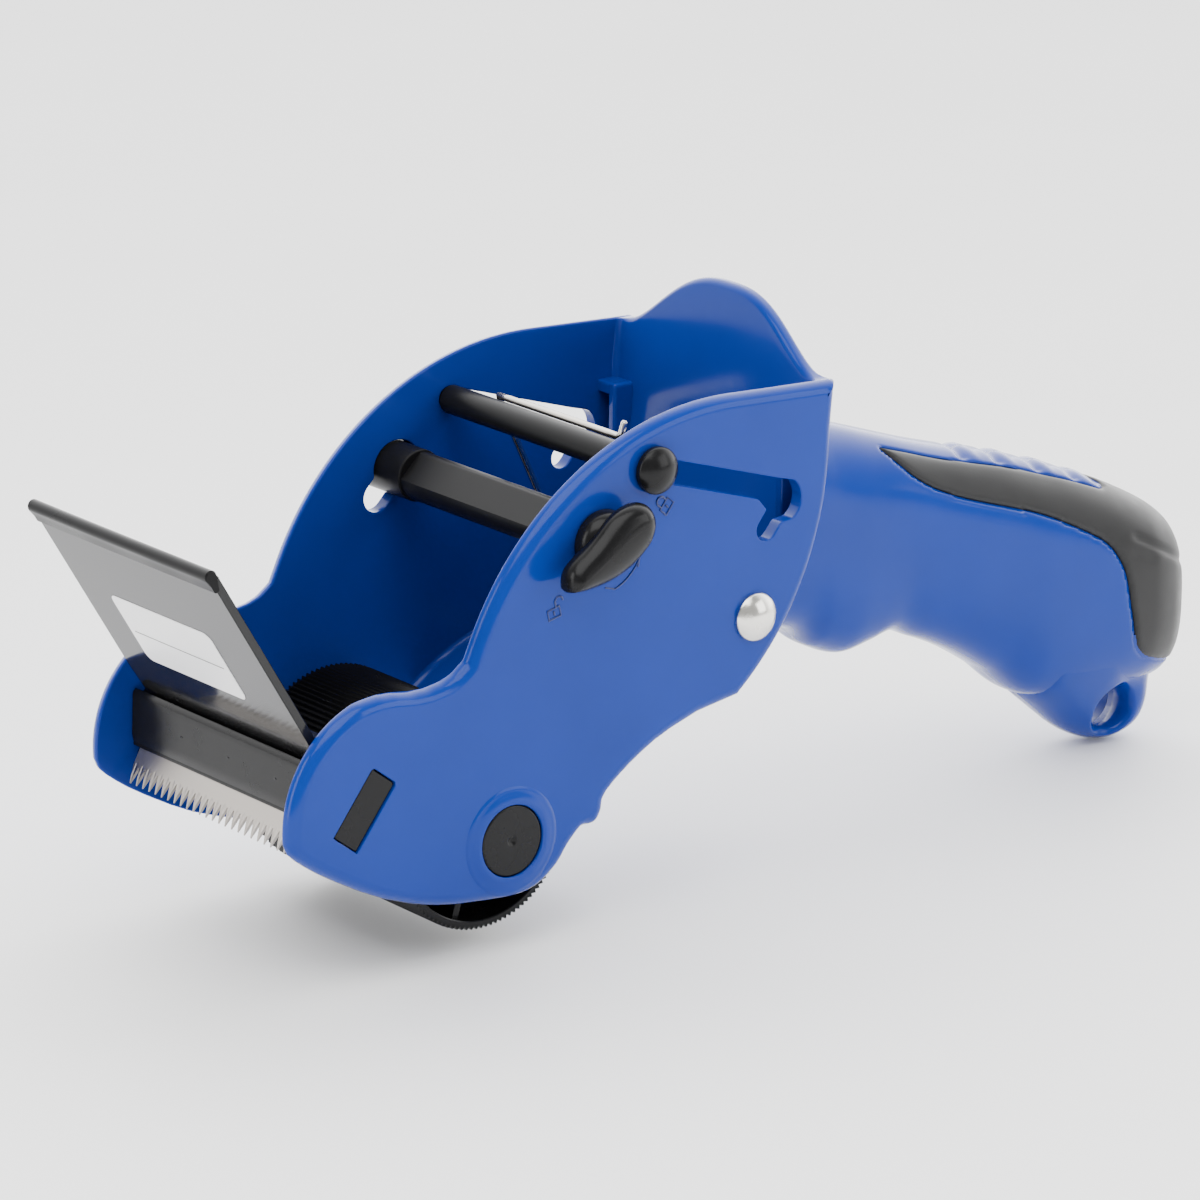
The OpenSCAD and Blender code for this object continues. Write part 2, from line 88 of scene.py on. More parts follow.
def resample(pts, step, closed=True):
    run = list(pts) + ([pts[0]] if closed else [])
    s = [0.0]
    for a, b in zip(run, run[1:]):
        s.append(s[-1] + math.dist(a, b))
    n = max(3, round(s[-1] / step))
    out, k = [], 0
    for i in range(n if closed else n + 1):
        t = s[-1] * i / n
        while k < len(s) - 2 and s[k + 1] < t:
            k += 1
        f = (t - s[k]) / max(1e-9, s[k + 1] - s[k])
        out.append(tuple(a + (b - a) * f for a, b in zip(run[k], run[k + 1])))
    return out


def area(pts):
    return sum(a[0] * b[1] - b[0] * a[1] for a, b in zip(pts, pts[1:] + pts[:1])) / 2


def inset(pts, d):
    """Closed counter-clockwise outline moved inwards by d, with folded points merged."""
    n = len(pts)
    out = []
    for i in range(n):
        p0, p, p1 = Vector(pts[i - 1]), Vector(pts[i]), Vector(pts[(i + 1) % n])
        e0, e1 = (p - p0).normalized(), (p1 - p).normalized()
        n0, n1 = Vector((-e0.y, e0.x)), Vector((-e1.y, e1.x))
        m = (n0 + n1)
        m = m.normalized() if m.length > 1e-6 else n0
        out.append(p + m * d / max(0.5, m.dot(n0)))
    for _ in range(30):
        bad = False
        for i in range(n):
            j = (i + 1) % n
            if (out[j] - out[i]).dot(Vector(pts[j]) - Vector(pts[i])) < -1e-9:
                mid = (out[i] + out[j]) / 2
                out[i], out[j], bad = mid.copy(), mid.copy(), True
        if not bad:
            break
    return [tuple(p) for p in out]


def pchip(xs, ys):
    """Smooth curve through the points with no overshoot, as a function."""
    n = len(xs)
    h = [xs[i + 1] - xs[i] for i in range(n - 1)]
    d = [(ys[i + 1] - ys[i]) / h[i] for i in range(n - 1)]
    m = [d[0]] + [0.0] * (n - 2) + [d[-1]]
    for i in range(1, n - 1):
        if d[i - 1] * d[i] > 0:
            w1, w2 = 2 * h[i] + h[i - 1], h[i] + 2 * h[i - 1]
            m[i] = (w1 + w2) / (w1 / d[i - 1] + w2 / d[i])

    def f(x):
        k = 0
        while k < n - 2 and xs[k + 1] < x:
            k += 1
        t = (x - xs[k]) / h[k]
        if t < 0 or t > 1:
            return (ys[k] + m[k] * (x - xs[k])) if t < 0 else ys[k + 1] + m[k + 1] * (x - xs[k + 1])
        return ((2 * t ** 3 - 3 * t ** 2 + 1) * ys[k] + (t ** 3 - 2 * t ** 2 + t) * h[k] * m[k]
                + (3 * t ** 2 - 2 * t ** 3) * ys[k + 1] + (t ** 3 - t ** 2) * h[k] * m[k + 1])
    return f


def smooth01(t):
    t = min(1.0, max(0.0, t))
    return t * t * (3 - 2 * t)


def at_y(p, y):
    """A side-view point (x, z) as a 3-D point."""
    return (p[0], y, p[1])


def link(name, data):
    ob = bpy.data.objects.new(name, data)
    bpy.context.scene.collection.objects.link(ob)
    return ob


def shade(bm, angle):
    """Smooth faces, with sharp edges where two faces meet at more than the angle."""
    for f in bm.faces:
        f.smooth = True
    for e in bm.edges:
        if angle and len(e.link_faces) == 2 and e.calc_face_angle(0) > rad(angle):
            e.smooth = False


class Build:
    """Collects points and faces in millimetres, then makes one object."""

    def __init__(self):
        self.v, self.f, self.m = [], [], []

    def face(self, points, mat=0):
        self.f.append(points)
        self.m.append(mat)

    def add(self, verts, faces=()):
        base = len(self.v)
        self.v += [tuple(p) for p in verts]
        for f in faces:
            self.face([base + i for i in f])
        return base

    def rings(self, rings, mat=0, closed=True, cap0=False, cap1=False):
        """Faces between rows of points of one length, with a face over the first or last row if wanted."""
        n = len(rings[0])
        base = self.add([p for r in rings for p in r])
        last = n if closed else n - 1
        for k in range(len(rings) - 1):
            for i in range(last):
                j = (i + 1) % n
                a = base + k * n
                self.face([a + i, a + j, a + n + j, a + n + i], mat)
        for cap, k in ((cap0, 0), (cap1, len(rings) - 1)):
            if cap:
                self.face([base + k * n + i for i in range(n)], mat)

    def mesh(self, name):
        me = bpy.data.meshes.new(name)
        me.from_pydata([(x * MM, y * MM, z * MM) for x, y, z in self.v], [], self.f)
        me.update()
        return me

    def make(self, name, body, mats, merge=1e-3, weighted=True, angle=None):
        """One object from what was collected. merge is in millimetres; edges above angle stay sharp."""
        me = self.mesh(name)
        bm = bmesh.new()
        bm.from_mesh(me)
        bm.faces.ensure_lookup_table()
        for f, m in zip(bm.faces, self.m):
            f.material_index = m
        bmesh.ops.remove_doubles(bm, verts=bm.verts, dist=merge * MM)
        bmesh.ops.dissolve_degenerate(bm, dist=1e-7, edges=bm.edges)
        bmesh.ops.recalc_face_normals(bm, faces=bm.faces)
        shade(bm, angle)
        bm.to_mesh(me)
        bm.free()
        ob = link(name, me)
        for m in (mats if isinstance(mats, (list, tuple)) else [mats]):
            me.materials.append(m)
        if weighted:
            w = ob.modifiers.new("normals", "WEIGHTED_NORMAL")
            w.keep_sharp = True
            w.weight = 80
        if body:
            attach(ob, body)
        return ob


def plate(b, outline, y_face, y_back, r_face=0.4, r_back=0.3, holes=(), steps=6):
    """A side-view outline as a plate from y_face to y_back, with rounded edges. Each hole
    is (outline, edge radius) and has the same rounding on both faces."""
    way = 1 if y_back > y_face else -1
    depth = abs(y_back - y_face)

    def quarter(r, n):
        return [(r * (1 - math.sin(rad(90 * k / n))), r * (1 - math.cos(rad(90 * k / n)))) for k in range(n + 1)]

    fronts, backs = [], []
    for loop, r0, r1, sign in [(outline, r_face, r_back, 1)] + [(hole, r, r, -1) for hole, r in holes]:
        if area(loop) < 0:
            loop = loop[::-1]
        rows = quarter(r0, steps) + [(d, depth - t) for d, t in quarter(r1, 3)[::-1]]
        loops = [inset(loop, sign * d) if d > 1e-6 else list(loop) for d, _ in rows]
        b.rings([[at_y(p, y_face + way * t) for p in c] for c, (_, t) in zip(loops, rows)])
        fronts.append(loops[0])
        backs.append(loops[-1])
    for loops, y in ((fronts, y_face), (backs, y_back)):
        tris = geometry.tessellate_polygon([[Vector((*p, 0)) for p in loop] for loop in loops])
        b.add([at_y(p, y) for loop in loops for p in loop], tris)


def circle(c, r, n=48):
    return [(c[0] + r * math.cos(2 * math.pi * i / n), c[1] + r * math.sin(2 * math.pi * i / n))
            for i in range(n)]


def lathe(b, c, profile, n=64):
    """Turns a profile of (radius, y) about the Y axis through the side-view point c. A profile that
    ends where it starts makes a ring; any other is closed by a face at an end that is off the axis."""
    rings = [[at_y(p, y) for p in circle(c, max(r, 1e-4), n)] for r, y in profile]
    ends = profile[0] != profile[-1]
    b.rings(rings, cap0=ends and profile[0][0] > 0.01, cap1=ends and profile[-1][0] > 0.01)


def edge_profile(r, y0, y1, e=0.4, n=4):
    """Profile of a rod with rounded ends."""
    s = 1 if y1 > y0 else -1
    a = [(r - e + e * math.sin(rad(90 * k / n)), y0 + s * e * (1 - math.cos(rad(90 * k / n))))
         for k in range(n + 1)]
    z = [(r - e + e * math.cos(rad(90 * k / n)), y1 - s * e * (1 - math.sin(rad(90 * k / n))))
         for k in range(n + 1)]
    return [(0, y0)] + a + z + [(0, y1)]


def dome_profile(r, base_y, way, h, n=10):
    """Profile of a domed head from its rim out to its centre."""
    R = (r * r + h * h) / (2 * h)
    top = math.asin(min(1, r / R))
    return [(R * math.sin(top * (1 - k / n)), base_y + way * (R * math.cos(top * (1 - k / n)) - R + h))
            for k in range(n + 1)]


def tube(b, path, r, sides=10):
    """A round wire along 3-D points, with rounded ends."""
    pts = [Vector(p) for p in path]
    rings, up = [], None
    for i, p in enumerate(pts):
        t = (pts[min(i + 1, len(pts) - 1)] - pts[max(i - 1, 0)]).normalized()
        if up is None:
            up = t.orthogonal().normalized()
        up = (up - t * up.dot(t)).normalized()
        side = t.cross(up)
        turns = [2 * math.pi * k / sides for k in range(sides)]
        rings.append([p + (up * math.cos(a) + side * math.sin(a)) * r for a in turns])
    for k in (0, -1):
        t = (pts[k] - pts[1 if k == 0 else -2]).normalized()
        c, ring = pts[k], rings[k]
        cap = [[c + (p - c) * math.sqrt(1 - q * q) + t * r * q for p in ring] for q in (0.5, 0.85)]
        rings = (cap[::-1] + rings) if k == 0 else (rings + cap)
    b.rings([[tuple(p) for p in ring] for ring in rings], cap0=True, cap1=True)


# ---- materials

def node(tree, kind, sockets):
    """A new shader node with the given values on its sockets."""
    n = tree.nodes.new("ShaderNode" + kind)
    for key, value in sockets.items():
        n.inputs[key].default_value = value
    return n


def material(name, base, rough, metallic=0.0, coat=0.0, spread=0.06, tone=0.06, grain=0.0, grain_scale=2500.0,
             wave=0.0, wave_scale=60.0, spec=0.5, stretch=(1, 1, 1)):
    """A procedural material. tone and spread are how far colour and roughness wander; wave and grain are
    the heights of a slow and a fine bump, in millimetres."""
    m = bpy.data.materials.new(name)
    m.use_nodes = True
    nt = m.node_tree
    join = nt.links.new
    bs = nt.nodes["Principled BSDF"]
    for key, value in (("Metallic", metallic), ("Specular IOR Level", spec), ("Coat Weight", coat),
                       ("Coat Roughness", 0.05)):
        bs.inputs[key].default_value = value
    co = node(nt, "TexCoord", {})
    mp = node(nt, "Mapping", {"Scale": stretch})
    join(co.outputs["Object"], mp.inputs["Vector"])

    def noise(scale, detail=3.0):
        n = node(nt, "TexNoise", {"Scale": scale, "Detail": detail})
        join(mp.outputs["Vector"], n.inputs["Vector"])
        return n

    def ramp(src, lo, hi):
        r = node(nt, "MapRange", {"From Min": 0.3, "From Max": 0.7, "To Min": lo, "To Max": hi})
        join(src.outputs["Fac"], r.inputs["Value"])
        return r.outputs["Result"]

    big = noise(wave_scale)
    mix = nt.nodes.new("ShaderNodeMix")
    mix.data_type = "RGBA"
    mix.inputs["A"].default_value = [c * (1 - tone) for c in base] + [1]
    mix.inputs["B"].default_value = [min(1, c * (1 + tone)) for c in base] + [1]
    join(ramp(big, 0, 1), mix.inputs["Factor"])
    join(mix.outputs["Result"], bs.inputs["Base Color"])
    join(ramp(noise(wave_scale * 3.1), rough * (1 - spread), rough * (1 + spread)), bs.inputs["Roughness"])
    last = None
    for amount, src in ((wave, big), (grain, noise(grain_scale, 2.0))):
        if amount > 0:
            bp = node(nt, "Bump", {"Strength": 1.0, "Distance": amount * MM})
            join(src.outputs["Fac"], bp.inputs["Height"])
            if last:
                join(last.outputs["Normal"], bp.inputs["Normal"])
            last = bp
    if last:
        join(last.outputs["Normal"], bs.inputs["Normal"])
    return m


BLUE = material("blue_gloss", (0.004, 0.031, 0.26), 0.15, spec=0.2, spread=0.15, tone=0.05, wave=0.02,
                wave_scale=45, grain=0.0015, grain_scale=1800)
# darker blue for the pictogram lines: painted shade, as the real lines are the cheek's own blue plastic
BLUE_GROOVE_SHADE = material("blue_pictogram_shade", (0.003, 0.015, 0.12), 0.3, spread=0.1, tone=0.05, wave_scale=80)
BLACK = material("black_gloss", (0.006, 0.006, 0.0065), 0.24, spec=0.18, spread=0.2, tone=0.12, wave=0.012,
                 wave_scale=60, grain=0.002, grain_scale=2200)
SMOKE = material("black_polished", (0.010, 0.010, 0.0105), 0.1, spec=0.28, spread=0.2, tone=0.1, wave=0.01,
                 wave_scale=35)
GRIP = material("soft_grip", (0.0085, 0.0085, 0.009), 0.36, spec=0.28, spread=0.12, tone=0.15, grain=0.01,
                grain_scale=3200, wave=0.01, wave_scale=70)
# satin black for the rods; on the flap's bead the same material is painted shade
SATIN_AND_BEAD_SHADE = material("black_satin_and_bead_shade", (0.007, 0.007, 0.0075), 0.34, spec=0.1, spread=0.2, tone=0.1, wave=0.01,
               wave_scale=12)
WIRE = material("bright_wire", (0.5, 0.47, 0.43), 0.24, metallic=1, spread=0.1, tone=0.03, wave_scale=9)
STEEL = material("steel_wire", (0.55, 0.55, 0.56), 0.26, metallic=1, spread=0.25, tone=0.08, wave_scale=150)
BLADE = material("blade_steel", (0.40, 0.37, 0.34), 0.36, metallic=1, spread=0.12, tone=0.05, grain=0.0012,
                 grain_scale=900, stretch=(1, 0.03, 1), wave_scale=90)
CHROME = material("chrome", (0.80, 0.78, 0.73), 0.24, metallic=1, spread=0.3, tone=0.06, wave=0.12,
                  wave_scale=130)
LABEL = material("label_paper", (0.84, 0.84, 0.845), 0.33, coat=0.2, spread=0.1, tone=0.02, grain=0.002,
                 grain_scale=1500)
INK = material("label_line", (0.02, 0.02, 0.02), 0.5, spread=0.1, tone=0.2)

# ---- body frame

WALL_END = -50.5               # angle on the bay's circle where the round rear wall stops
TOP_Z, CREST_RISE = 100.25, 13.55
nose = arc((-27.5, 31.5), 24.6, 184, 108, 16)
brow = [(-29, 55.6), (-20.5, 54.4), (-13.5, 55.6), (-9.6, 58.5)]
top_arc = arc((52.4, 35.4), 66, 157, 88, 34)
rear_arc = arc(BAY_C, BAY_R, 0, WALL_END, 28)
belly = [(47, 37.4), (38, 34.4), (31.6, 30.9), (26.6, 27.4), (23.5, 24.6), (23.4, 22.2), (22, 19.8),
         (20.3, 19.3), (18.4, 19.7), (16.6, 18.2), (14.6, 16.1), (12.8, 13.4), (10.2, 11.2), (7.7, 9.6)]
keel = [(4.3, 8.6), (0, 8.5), (-4, 8.8), (-10.8, 9.4), (-15, 10), (-19.1, 10.9), (-23.2, 12.1),
        (-31.4, 15.1), (-43.1, 21.5), (-49, 25.6), (-51.2, 27.7)]
rear_edge = [(81.2, TOP_Z), (80.9, 97.5), (80.6, 94.3), (80.3, 90.8)]
FRONT = resample(chaikin(nose + brow, 1, False), 0.8, False)
TOP = resample(top_arc + [rear_edge[0]], 0.9, False)
REST = resample(rear_edge + rear_arc + chaikin(belly + keel, 1, False) + [FRONT[0]], 0.8, False)
CHEEK = FRONT[:-1] + [brow[-1]] + TOP[1:-1] + REST[:-1]


def slot_outline():
    """The brake shaft's slot with its round corner and its parking hook, as one outline."""
    half = 2.4
    u = unit(SLOT_DIR)
    a, e = Vector(SHAFT_C), Vector(SHAFT_C) + u * SLOT_TRAVEL
    corner, corner_r, hook = Vector((67.2, 78)), 4.7, Vector((63, 72.8))
    n = Vector((-u.y, u.x))
    pts = arc(a, half, SLOT_DIR + 90, SLOT_DIR + 270, 10)
    pts += [tuple(a - n * half + u * 27.0), tuple(a - n * half + u * 28.6)]
    h = (hook - corner).normalized()
    hn = Vector((-h.y, h.x))
    pts += [tuple(hook - hn * half - h * 3.2)]
    ang = math.degrees(math.atan2(h.y, h.x))
    pts += arc(hook, half, ang - 90, ang + 90, 10)
    pts += [tuple(hook + hn * half - h * 3.0)]
    pts += arc(corner, corner_r, -60, 55, 12)
    pts += [tuple(e + n * half - u * 1.5)]
    return pts


def keyhole_outline():
    """The spindle's hole with the notch that lets its lug through."""
    c = Vector(SPINDLE_C)
    r, half, reach, way = 5.75, 3.2, 7.4, 227
    d = unit(way)
    spread = math.degrees(math.asin(half / r))
    pts = arc(SPINDLE_C, r, way + spread - 360, way - spread, 30)
    pts += arc(c + d * reach, half, way - 90, way + 90, 12)
    return pts


def window_outline(grow=0.0):
    """The window for the blade holder's end tab."""
    a, b, c, way = 7.6 + grow, 3.3 + grow, Vector((-34.8, 33.8)), 53
    d, n = unit(way), unit(way + 90)
    return [tuple(c + d * s * a + n * t * b) for s, t in ((-1, -1), (1, -1), (1, 1), (-1, 1))]


PLUG_HOLE_R = 7.32
SIDES = ((NEAR, "near"), (FAR, "far"))
for side, name in SIDES:
    b = Build()
    holes = [(resample(slot_outline(), 0.7), 0.35), (resample(keyhole_outline(), 0.6), 0.3),
             (resample(window_outline(0.15), 1.0), 0.2), (circle(ROLLER_C, PLUG_HOLE_R, 72), 0.1)]
    plate(b, CHEEK, side * HALF_W, side * INNER, 2.7, 0.45, holes, steps=8)
    rim = [(PLUG_HOLE_R, -0.6), (PLUG_HOLE_R, 0.35), (7.6, 0.6), (8.5, 0.55), (9.4, 0.3), (10.2, 0.08),
           (11.2, -0.02), (11.2, -0.6), (PLUG_HOLE_R, -0.6)]
    lathe(b, ROLLER_C, [(r, side * (HALF_W + rise)) for r, rise in rim], 72)
    cheek = b.make("cheek_" + name, "frame", BLUE)
    if side == NEAR:
        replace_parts(cheek, "body_frame")


def crest(y):
    """Height of the rear wall's top edge."""
    t = min(1.0, abs(y) / INNER)
    return TOP_Z + CREST_RISE * (1 + math.cos(math.pi * t ** 1.35)) / 2


FOOT = chaikin([(27, 27.75), (31.6, 31.05), (38, 34.55), (47, 37.55), rear_arc[-1]], 2, False)
FOOT = resample(FOOT, 1.2, False)


def crest_r(y):
    """Edge radius of the crest, which fades out where it meets the cheeks."""
    return 1.3 - 0.85 * smooth01((abs(y) - 28) / 3.5)


def wall_point(s, off):
    """Side-view point on the rear wall: s from -1 at its foot behind the roller over 0, where the
    round part starts, to 1 at the bay's centre height; off is the depth inside its outer face."""
    if s < 0:
        t = (s + 1) * (len(FOOT) - 1)
        k = min(len(FOOT) - 2, int(t))
        a, c = Vector(FOOT[k]), Vector(FOOT[k + 1])
        p, d = a.lerp(c, t - k), (c - a).normalized()
        n = Vector((-d.y, d.x)).lerp(-unit(WALL_END), smooth01((t - len(FOOT) + 6) / 5)).normalized()
        return tuple(p + n * off)
    a = rad(WALL_END * (1 - s))
    return (BAY_C[0] + (BAY_R - off) * math.cos(a), BAY_C[1] + (BAY_R - off) * math.sin(a))


def stand_point(z, off):
    """The same on the wall's upright part above the bay's centre height."""
    lean = (max(0.0, z - BAY_C[1]) / 12.4) ** 1.3
    return (BAY_C[0] + BAY_R - off + lean, z)


def rear_wall():
    b = Build()
    fillet = 1.6
    start = INNER + 0.1 - fillet
    ys = [start * (2 * i / 44 - 1) for i in range(45)]
    ends = [start + fillet * math.sin(rad(90 * k / 8)) for k in range(1, 9)] + [INNER + 0.3]
    ys = [-y for y in ends[::-1]] + ys + ends

    def outer(y):
        return -0.05 if abs(y) > 31 else 0.0

    def inner(y):
        t = (abs(y) - start) / fillet
        return WALL + (0.0 if t <= 0 else fillet * (1 - math.sqrt(max(0.0, 1 - min(1.0, t) ** 2))))

    def round_row(s, off):
        return [at_y(wall_point(s, off(y)), y) for y in ys]

    def stand_row(f, off):
        return [at_y(stand_point(BAY_C[1] + (crest(y) - crest_r(y) - BAY_C[1]) * f, off(y)), y) for y in ys]

    def crest_row(a, off, way):
        """On the crest's rounded edge, a degrees up from the wall's face."""
        down, back = 1 - math.sin(rad(a)), way * (1 - math.cos(rad(a)))
        return [at_y(stand_point(crest(y) - crest_r(y) * down, off(y) + crest_r(y) * back), y) for y in ys]

    low = [-1 + i / 16 for i in range(16)] + [i / 40 for i in range(41)]
    tops = 12
    rows = [round_row(s, inner) for s in low] + [stand_row(k / tops, inner) for k in range(1, tops + 1)]
    rows += [crest_row(15 * k, inner, -1) for k in range(1, 7)]
    rows += [crest_row(15 * k, outer, 1) for k in range(6, -1, -1)]
    rows += [stand_row(k / tops, outer) for k in range(tops - 1, -1, -1)]
    rows += [round_row(s, outer) for s in low[-2::-1]]
    b.rings(rows + rows[:1], closed=False)
    for i in (0, -1):
        b.add([row[i] for row in rows], [range(len(rows))])
    b.make("rear_wall", "frame", BLUE, angle=50)


rear_wall()

for side, name in SIDES:
    b = Build()
    rib = [(72.3, 71), (75.8, 71), (78.3, 79.5), (79.2, 88), (72.3, 88)]
    plate(b, resample(rib, 0.7), side * 26.0, side * 28.2, 0.7, 0.5, steps=4)
    shelf = [(72.4, 85.7), (79.0, 85.7), (79.0, 87.95), (72.4, 87.95)]
    plate(b, resample(shelf, 0.5), side * 26.4, side * (INNER + 0.2), 0.6, 0.3, steps=4)
    b.make("catch_" + name, "frame", BLUE, angle=50)


def engraving():
    """Open and closed padlock and turning arrow on the near cheek; their darker blue is painted shade standing
    in for their moulded grooves.
    """
    b = Build()

    def line(pts, r=0.24):
        tube(b, [at_y(p, -HALF_W - 0.02) for p in pts], r, 6)

    def padlock(cx, cz, opened, tilt):
        size, a = 0.86, rad(tilt)

        def at(x, z):
            return (cx + size * (x * math.cos(a) - z * math.sin(a)),
                    cz + size * (x * math.sin(a) + z * math.cos(a)))

        line([at(*p) for p in ((-1.7, -1.4), (1.7, -1.4), (1.7, 0.9), (-1.7, 0.9), (-1.7, -1.4))])
        shift = 1.9 if opened else 0.0
        hoop = [(-1.1, 0.9)] + [(x, z + 2.0) for x, z in arc((0, 0), 1.1, 180, 0, 8)]
        line([at(shift + x, z) for x, z in hoop + ([] if opened else [(1.1, 0.9)])])
        line([at(0, -0.6), at(0, 0.1)], 0.25)

    padlock(37.5, 82.0, False, 52)
    padlock(10.1, 65.2, True, 14)
    line(arc(SPINDLE_C, 10.9, -70, -27, 16), 0.22)
    line([(22.7, 67.9), (25.0, 67.2)], 0.18)
    line([(30.4, 73.1), (31.0, 72.5), (30.7, 70.9)], 0.22)
    b.make("pictograms", "frame", BLUE_GROOVE_SHADE, weighted=False)


engraving()

# ---- handle

# x, lowest and highest z and half width of the handle's sections
SECTIONS = [
    (56, 50.5, 97, 15.8), (62, 47, 95, 15.5), (80, 42, 89.3, 15.2), (95, 38.5, 84.3, 14.6),
    (101, 33.6, 82.3, 14.3), (108.5, 31, 80, 14), (114, 31.9, 78.2, 13.7), (121, 33.4, 75.9, 13.5),
    (129, 30.6, 73.3, 13.7), (138.7, 26.2, 70.5, 14.2), (149.3, 19.9, 67.8, 14.6), (160, 12.2, 64.4, 15),
    (168, 10.4, 61.7, 15), (178, 9.8, 57.7, 15), (188, 9.4, 53, 14.6), (195, 9.9, 49, 13),
    (200, 12, 44.5, 10), (203, 17, 38, 6), (204.1, 23, 33, 3)]
END_X = SECTIONS[-1][0]
z_low, z_high, z_half = (pchip([s[0] for s in SECTIONS], [s[k] for s in SECTIONS]) for k in (1, 2, 3))
POWER = 2.6                    # of the sections' superellipse


def bulge(c):
    return math.copysign(abs(c) ** (2 / POWER), c)


def mid_z(x):
    return (z_low(x) + z_high(x)) / 2


def surf(x, phi):
    """Handle surface: phi runs from -90 (bottom) over 0 (the near side) to 90 (top), and on
    to 270 round the far side."""
    lo, hi, w = z_low(x), z_high(x), z_half(x)
    mid, h = (lo + hi) / 2, (hi - lo) / 2
    a = rad(phi)
    return Vector((x, -w * bulge(math.cos(a)), mid + h * bulge(math.sin(a))))


GRIP_LOW = chaikin([
    (110.5, 79.5), (113.5, 77.0), (115.3, 74.9), (118.1, 72.2), (122.3, 68.2), (127, 65.3), (134.3, 62.2),
    (141.4, 59.9), (148.1, 57.9), (156.2, 55.2), (161.7, 52.7), (167.8, 49.7), (172.9, 46.9), (175.5, 44.7),
    (177.6, 41.8), (179.2, 38.8), (180.3, 34.5), (181.1, 30.7), (182.3, 26.1), (183.0, 22.6), (183.9, 20.6),
    (185.9, 18.7), (188.1, 17.5), (190.7, 16.5), (193.9, 15.6), (199.5, 14.2), (212, 12)], 2, False)
GROOVES = (141, 151, 162, 172.5, 180.3)            # x of the thumb grooves across the blue strip
CREASES = (((181.0, 46.6), (203.5, 34.8), 0.34), ((180.0, 43.2), (190.0, 39.4), 0.16))


def to_line(p, line):
    """Distance from a side-view point to a line of points, and 1 or -1 for the side it is on."""
    best, sign = 1e9, 1
    for a, c in zip(line, line[1:]):
        a, c = Vector(a), Vector(c)
        d = c - a
        q = a + d * min(1, max(0, (p - a).dot(d) / d.length_squared))
        dist = (p - q).length
        if dist < best - 1e-9:
            best, sign = dist, (1 if d.x * (p.y - a.y) - d.y * (p.x - a.x) > 0 else -1)
    return best, sign


def strip_side(x, y):
    """Signed distance to the blue top strip in plan, positive outside it."""
    half, end, r = 8.0, 180.0, 4.0
    qx, qy = max(0.0, x - (end - r)), max(0.0, abs(y) - (half - r))
    if x <= end - r:
        return abs(y) - half
    return math.hypot(qx, qy) - r


def grip_value(p):
    """Signed distance to the rubber's border, positive on the rubber."""
    dist, sign = to_line(Vector((p.x, p.z)), GRIP_LOW)
    return min(dist * sign, strip_side(p.x, p.y)) if p.z > mid_z(p.x) else dist * sign


def wall_x(z):
    """x of the middle of the rear wall at the height z."""
    r = BAY_R - 1.6
    return BAY_C[0] + (math.sqrt(max(1.0, r * r - (BAY_C[1] - z) ** 2)) if z < BAY_C[1] else r)


def relief(p, value):
    """How far the handle's skin stands out at p: the rubber is a little proud, with creases moulded in behind
    the strip, and the blue strip has thumb grooves with a rise behind each."""
    if value > 0:
        d = 0.16 * smooth01(value / 1.2)
        for (ax, az), (bx, bz), depth in CREASES:
            ux, uz = bx - ax, bz - az
            ll = math.hypot(ux, uz)
            t = ((p.x - ax) * ux + (p.z - az) * uz) / ll
            off = ((p.x - ax) * uz - (p.z - az) * ux) / ll
            fade = smooth01(t / 3) * smooth01((ll - t) / 3) * smooth01((abs(p.y) - 2.5) / 2)
            d -= depth * math.exp(-(off / 0.75) ** 2) * fade
        return d
    d = 0.0
    if p.z > mid_z(p.x) and abs(p.y) < 7.9 and p.x > 118:
        for groove in GROOVES:
            off = p.x - groove - 0.28 * p.y
            d += 0.30 * math.exp(-((off - 3.2) / 1.6) ** 2) - 0.85 * math.exp(-(off / 1.25) ** 2)
    return d * smooth01(-value / 1.6)


def skin_normal(x, phi):
    x = min(x, END_X - 0.2)
    v = (surf(x, phi + 0.4) - surf(x, phi - 0.4)).cross(surf(x + 0.05, phi) - surf(x - 0.05, phi))
    return v.normalized() if v.length > 0 else Vector((1, 0, 0))


def slide_to_border(x, phi):
    """Moves a point of the skin that is near the rubber's border onto it."""
    dx, dphi = 0.05, 0.2
    for _ in range(4):
        p, px, pf = surf(x, phi), surf(x + dx, phi), surf(x, phi + dphi)
        f, lx, lf = grip_value(p), (px - p).length, (pf - p).length
        gx, gf = (grip_value(px) - f) / lx, (grip_value(pf) - f) / lf
        g2 = gx * gx + gf * gf
        if g2 < 0.05:
            break
        k = max(-1.2, min(1.2, -f / g2))
        x, phi = min(x + k * gx * dx / lx, END_X), phi + k * gf * dphi / lf
    return x, phi


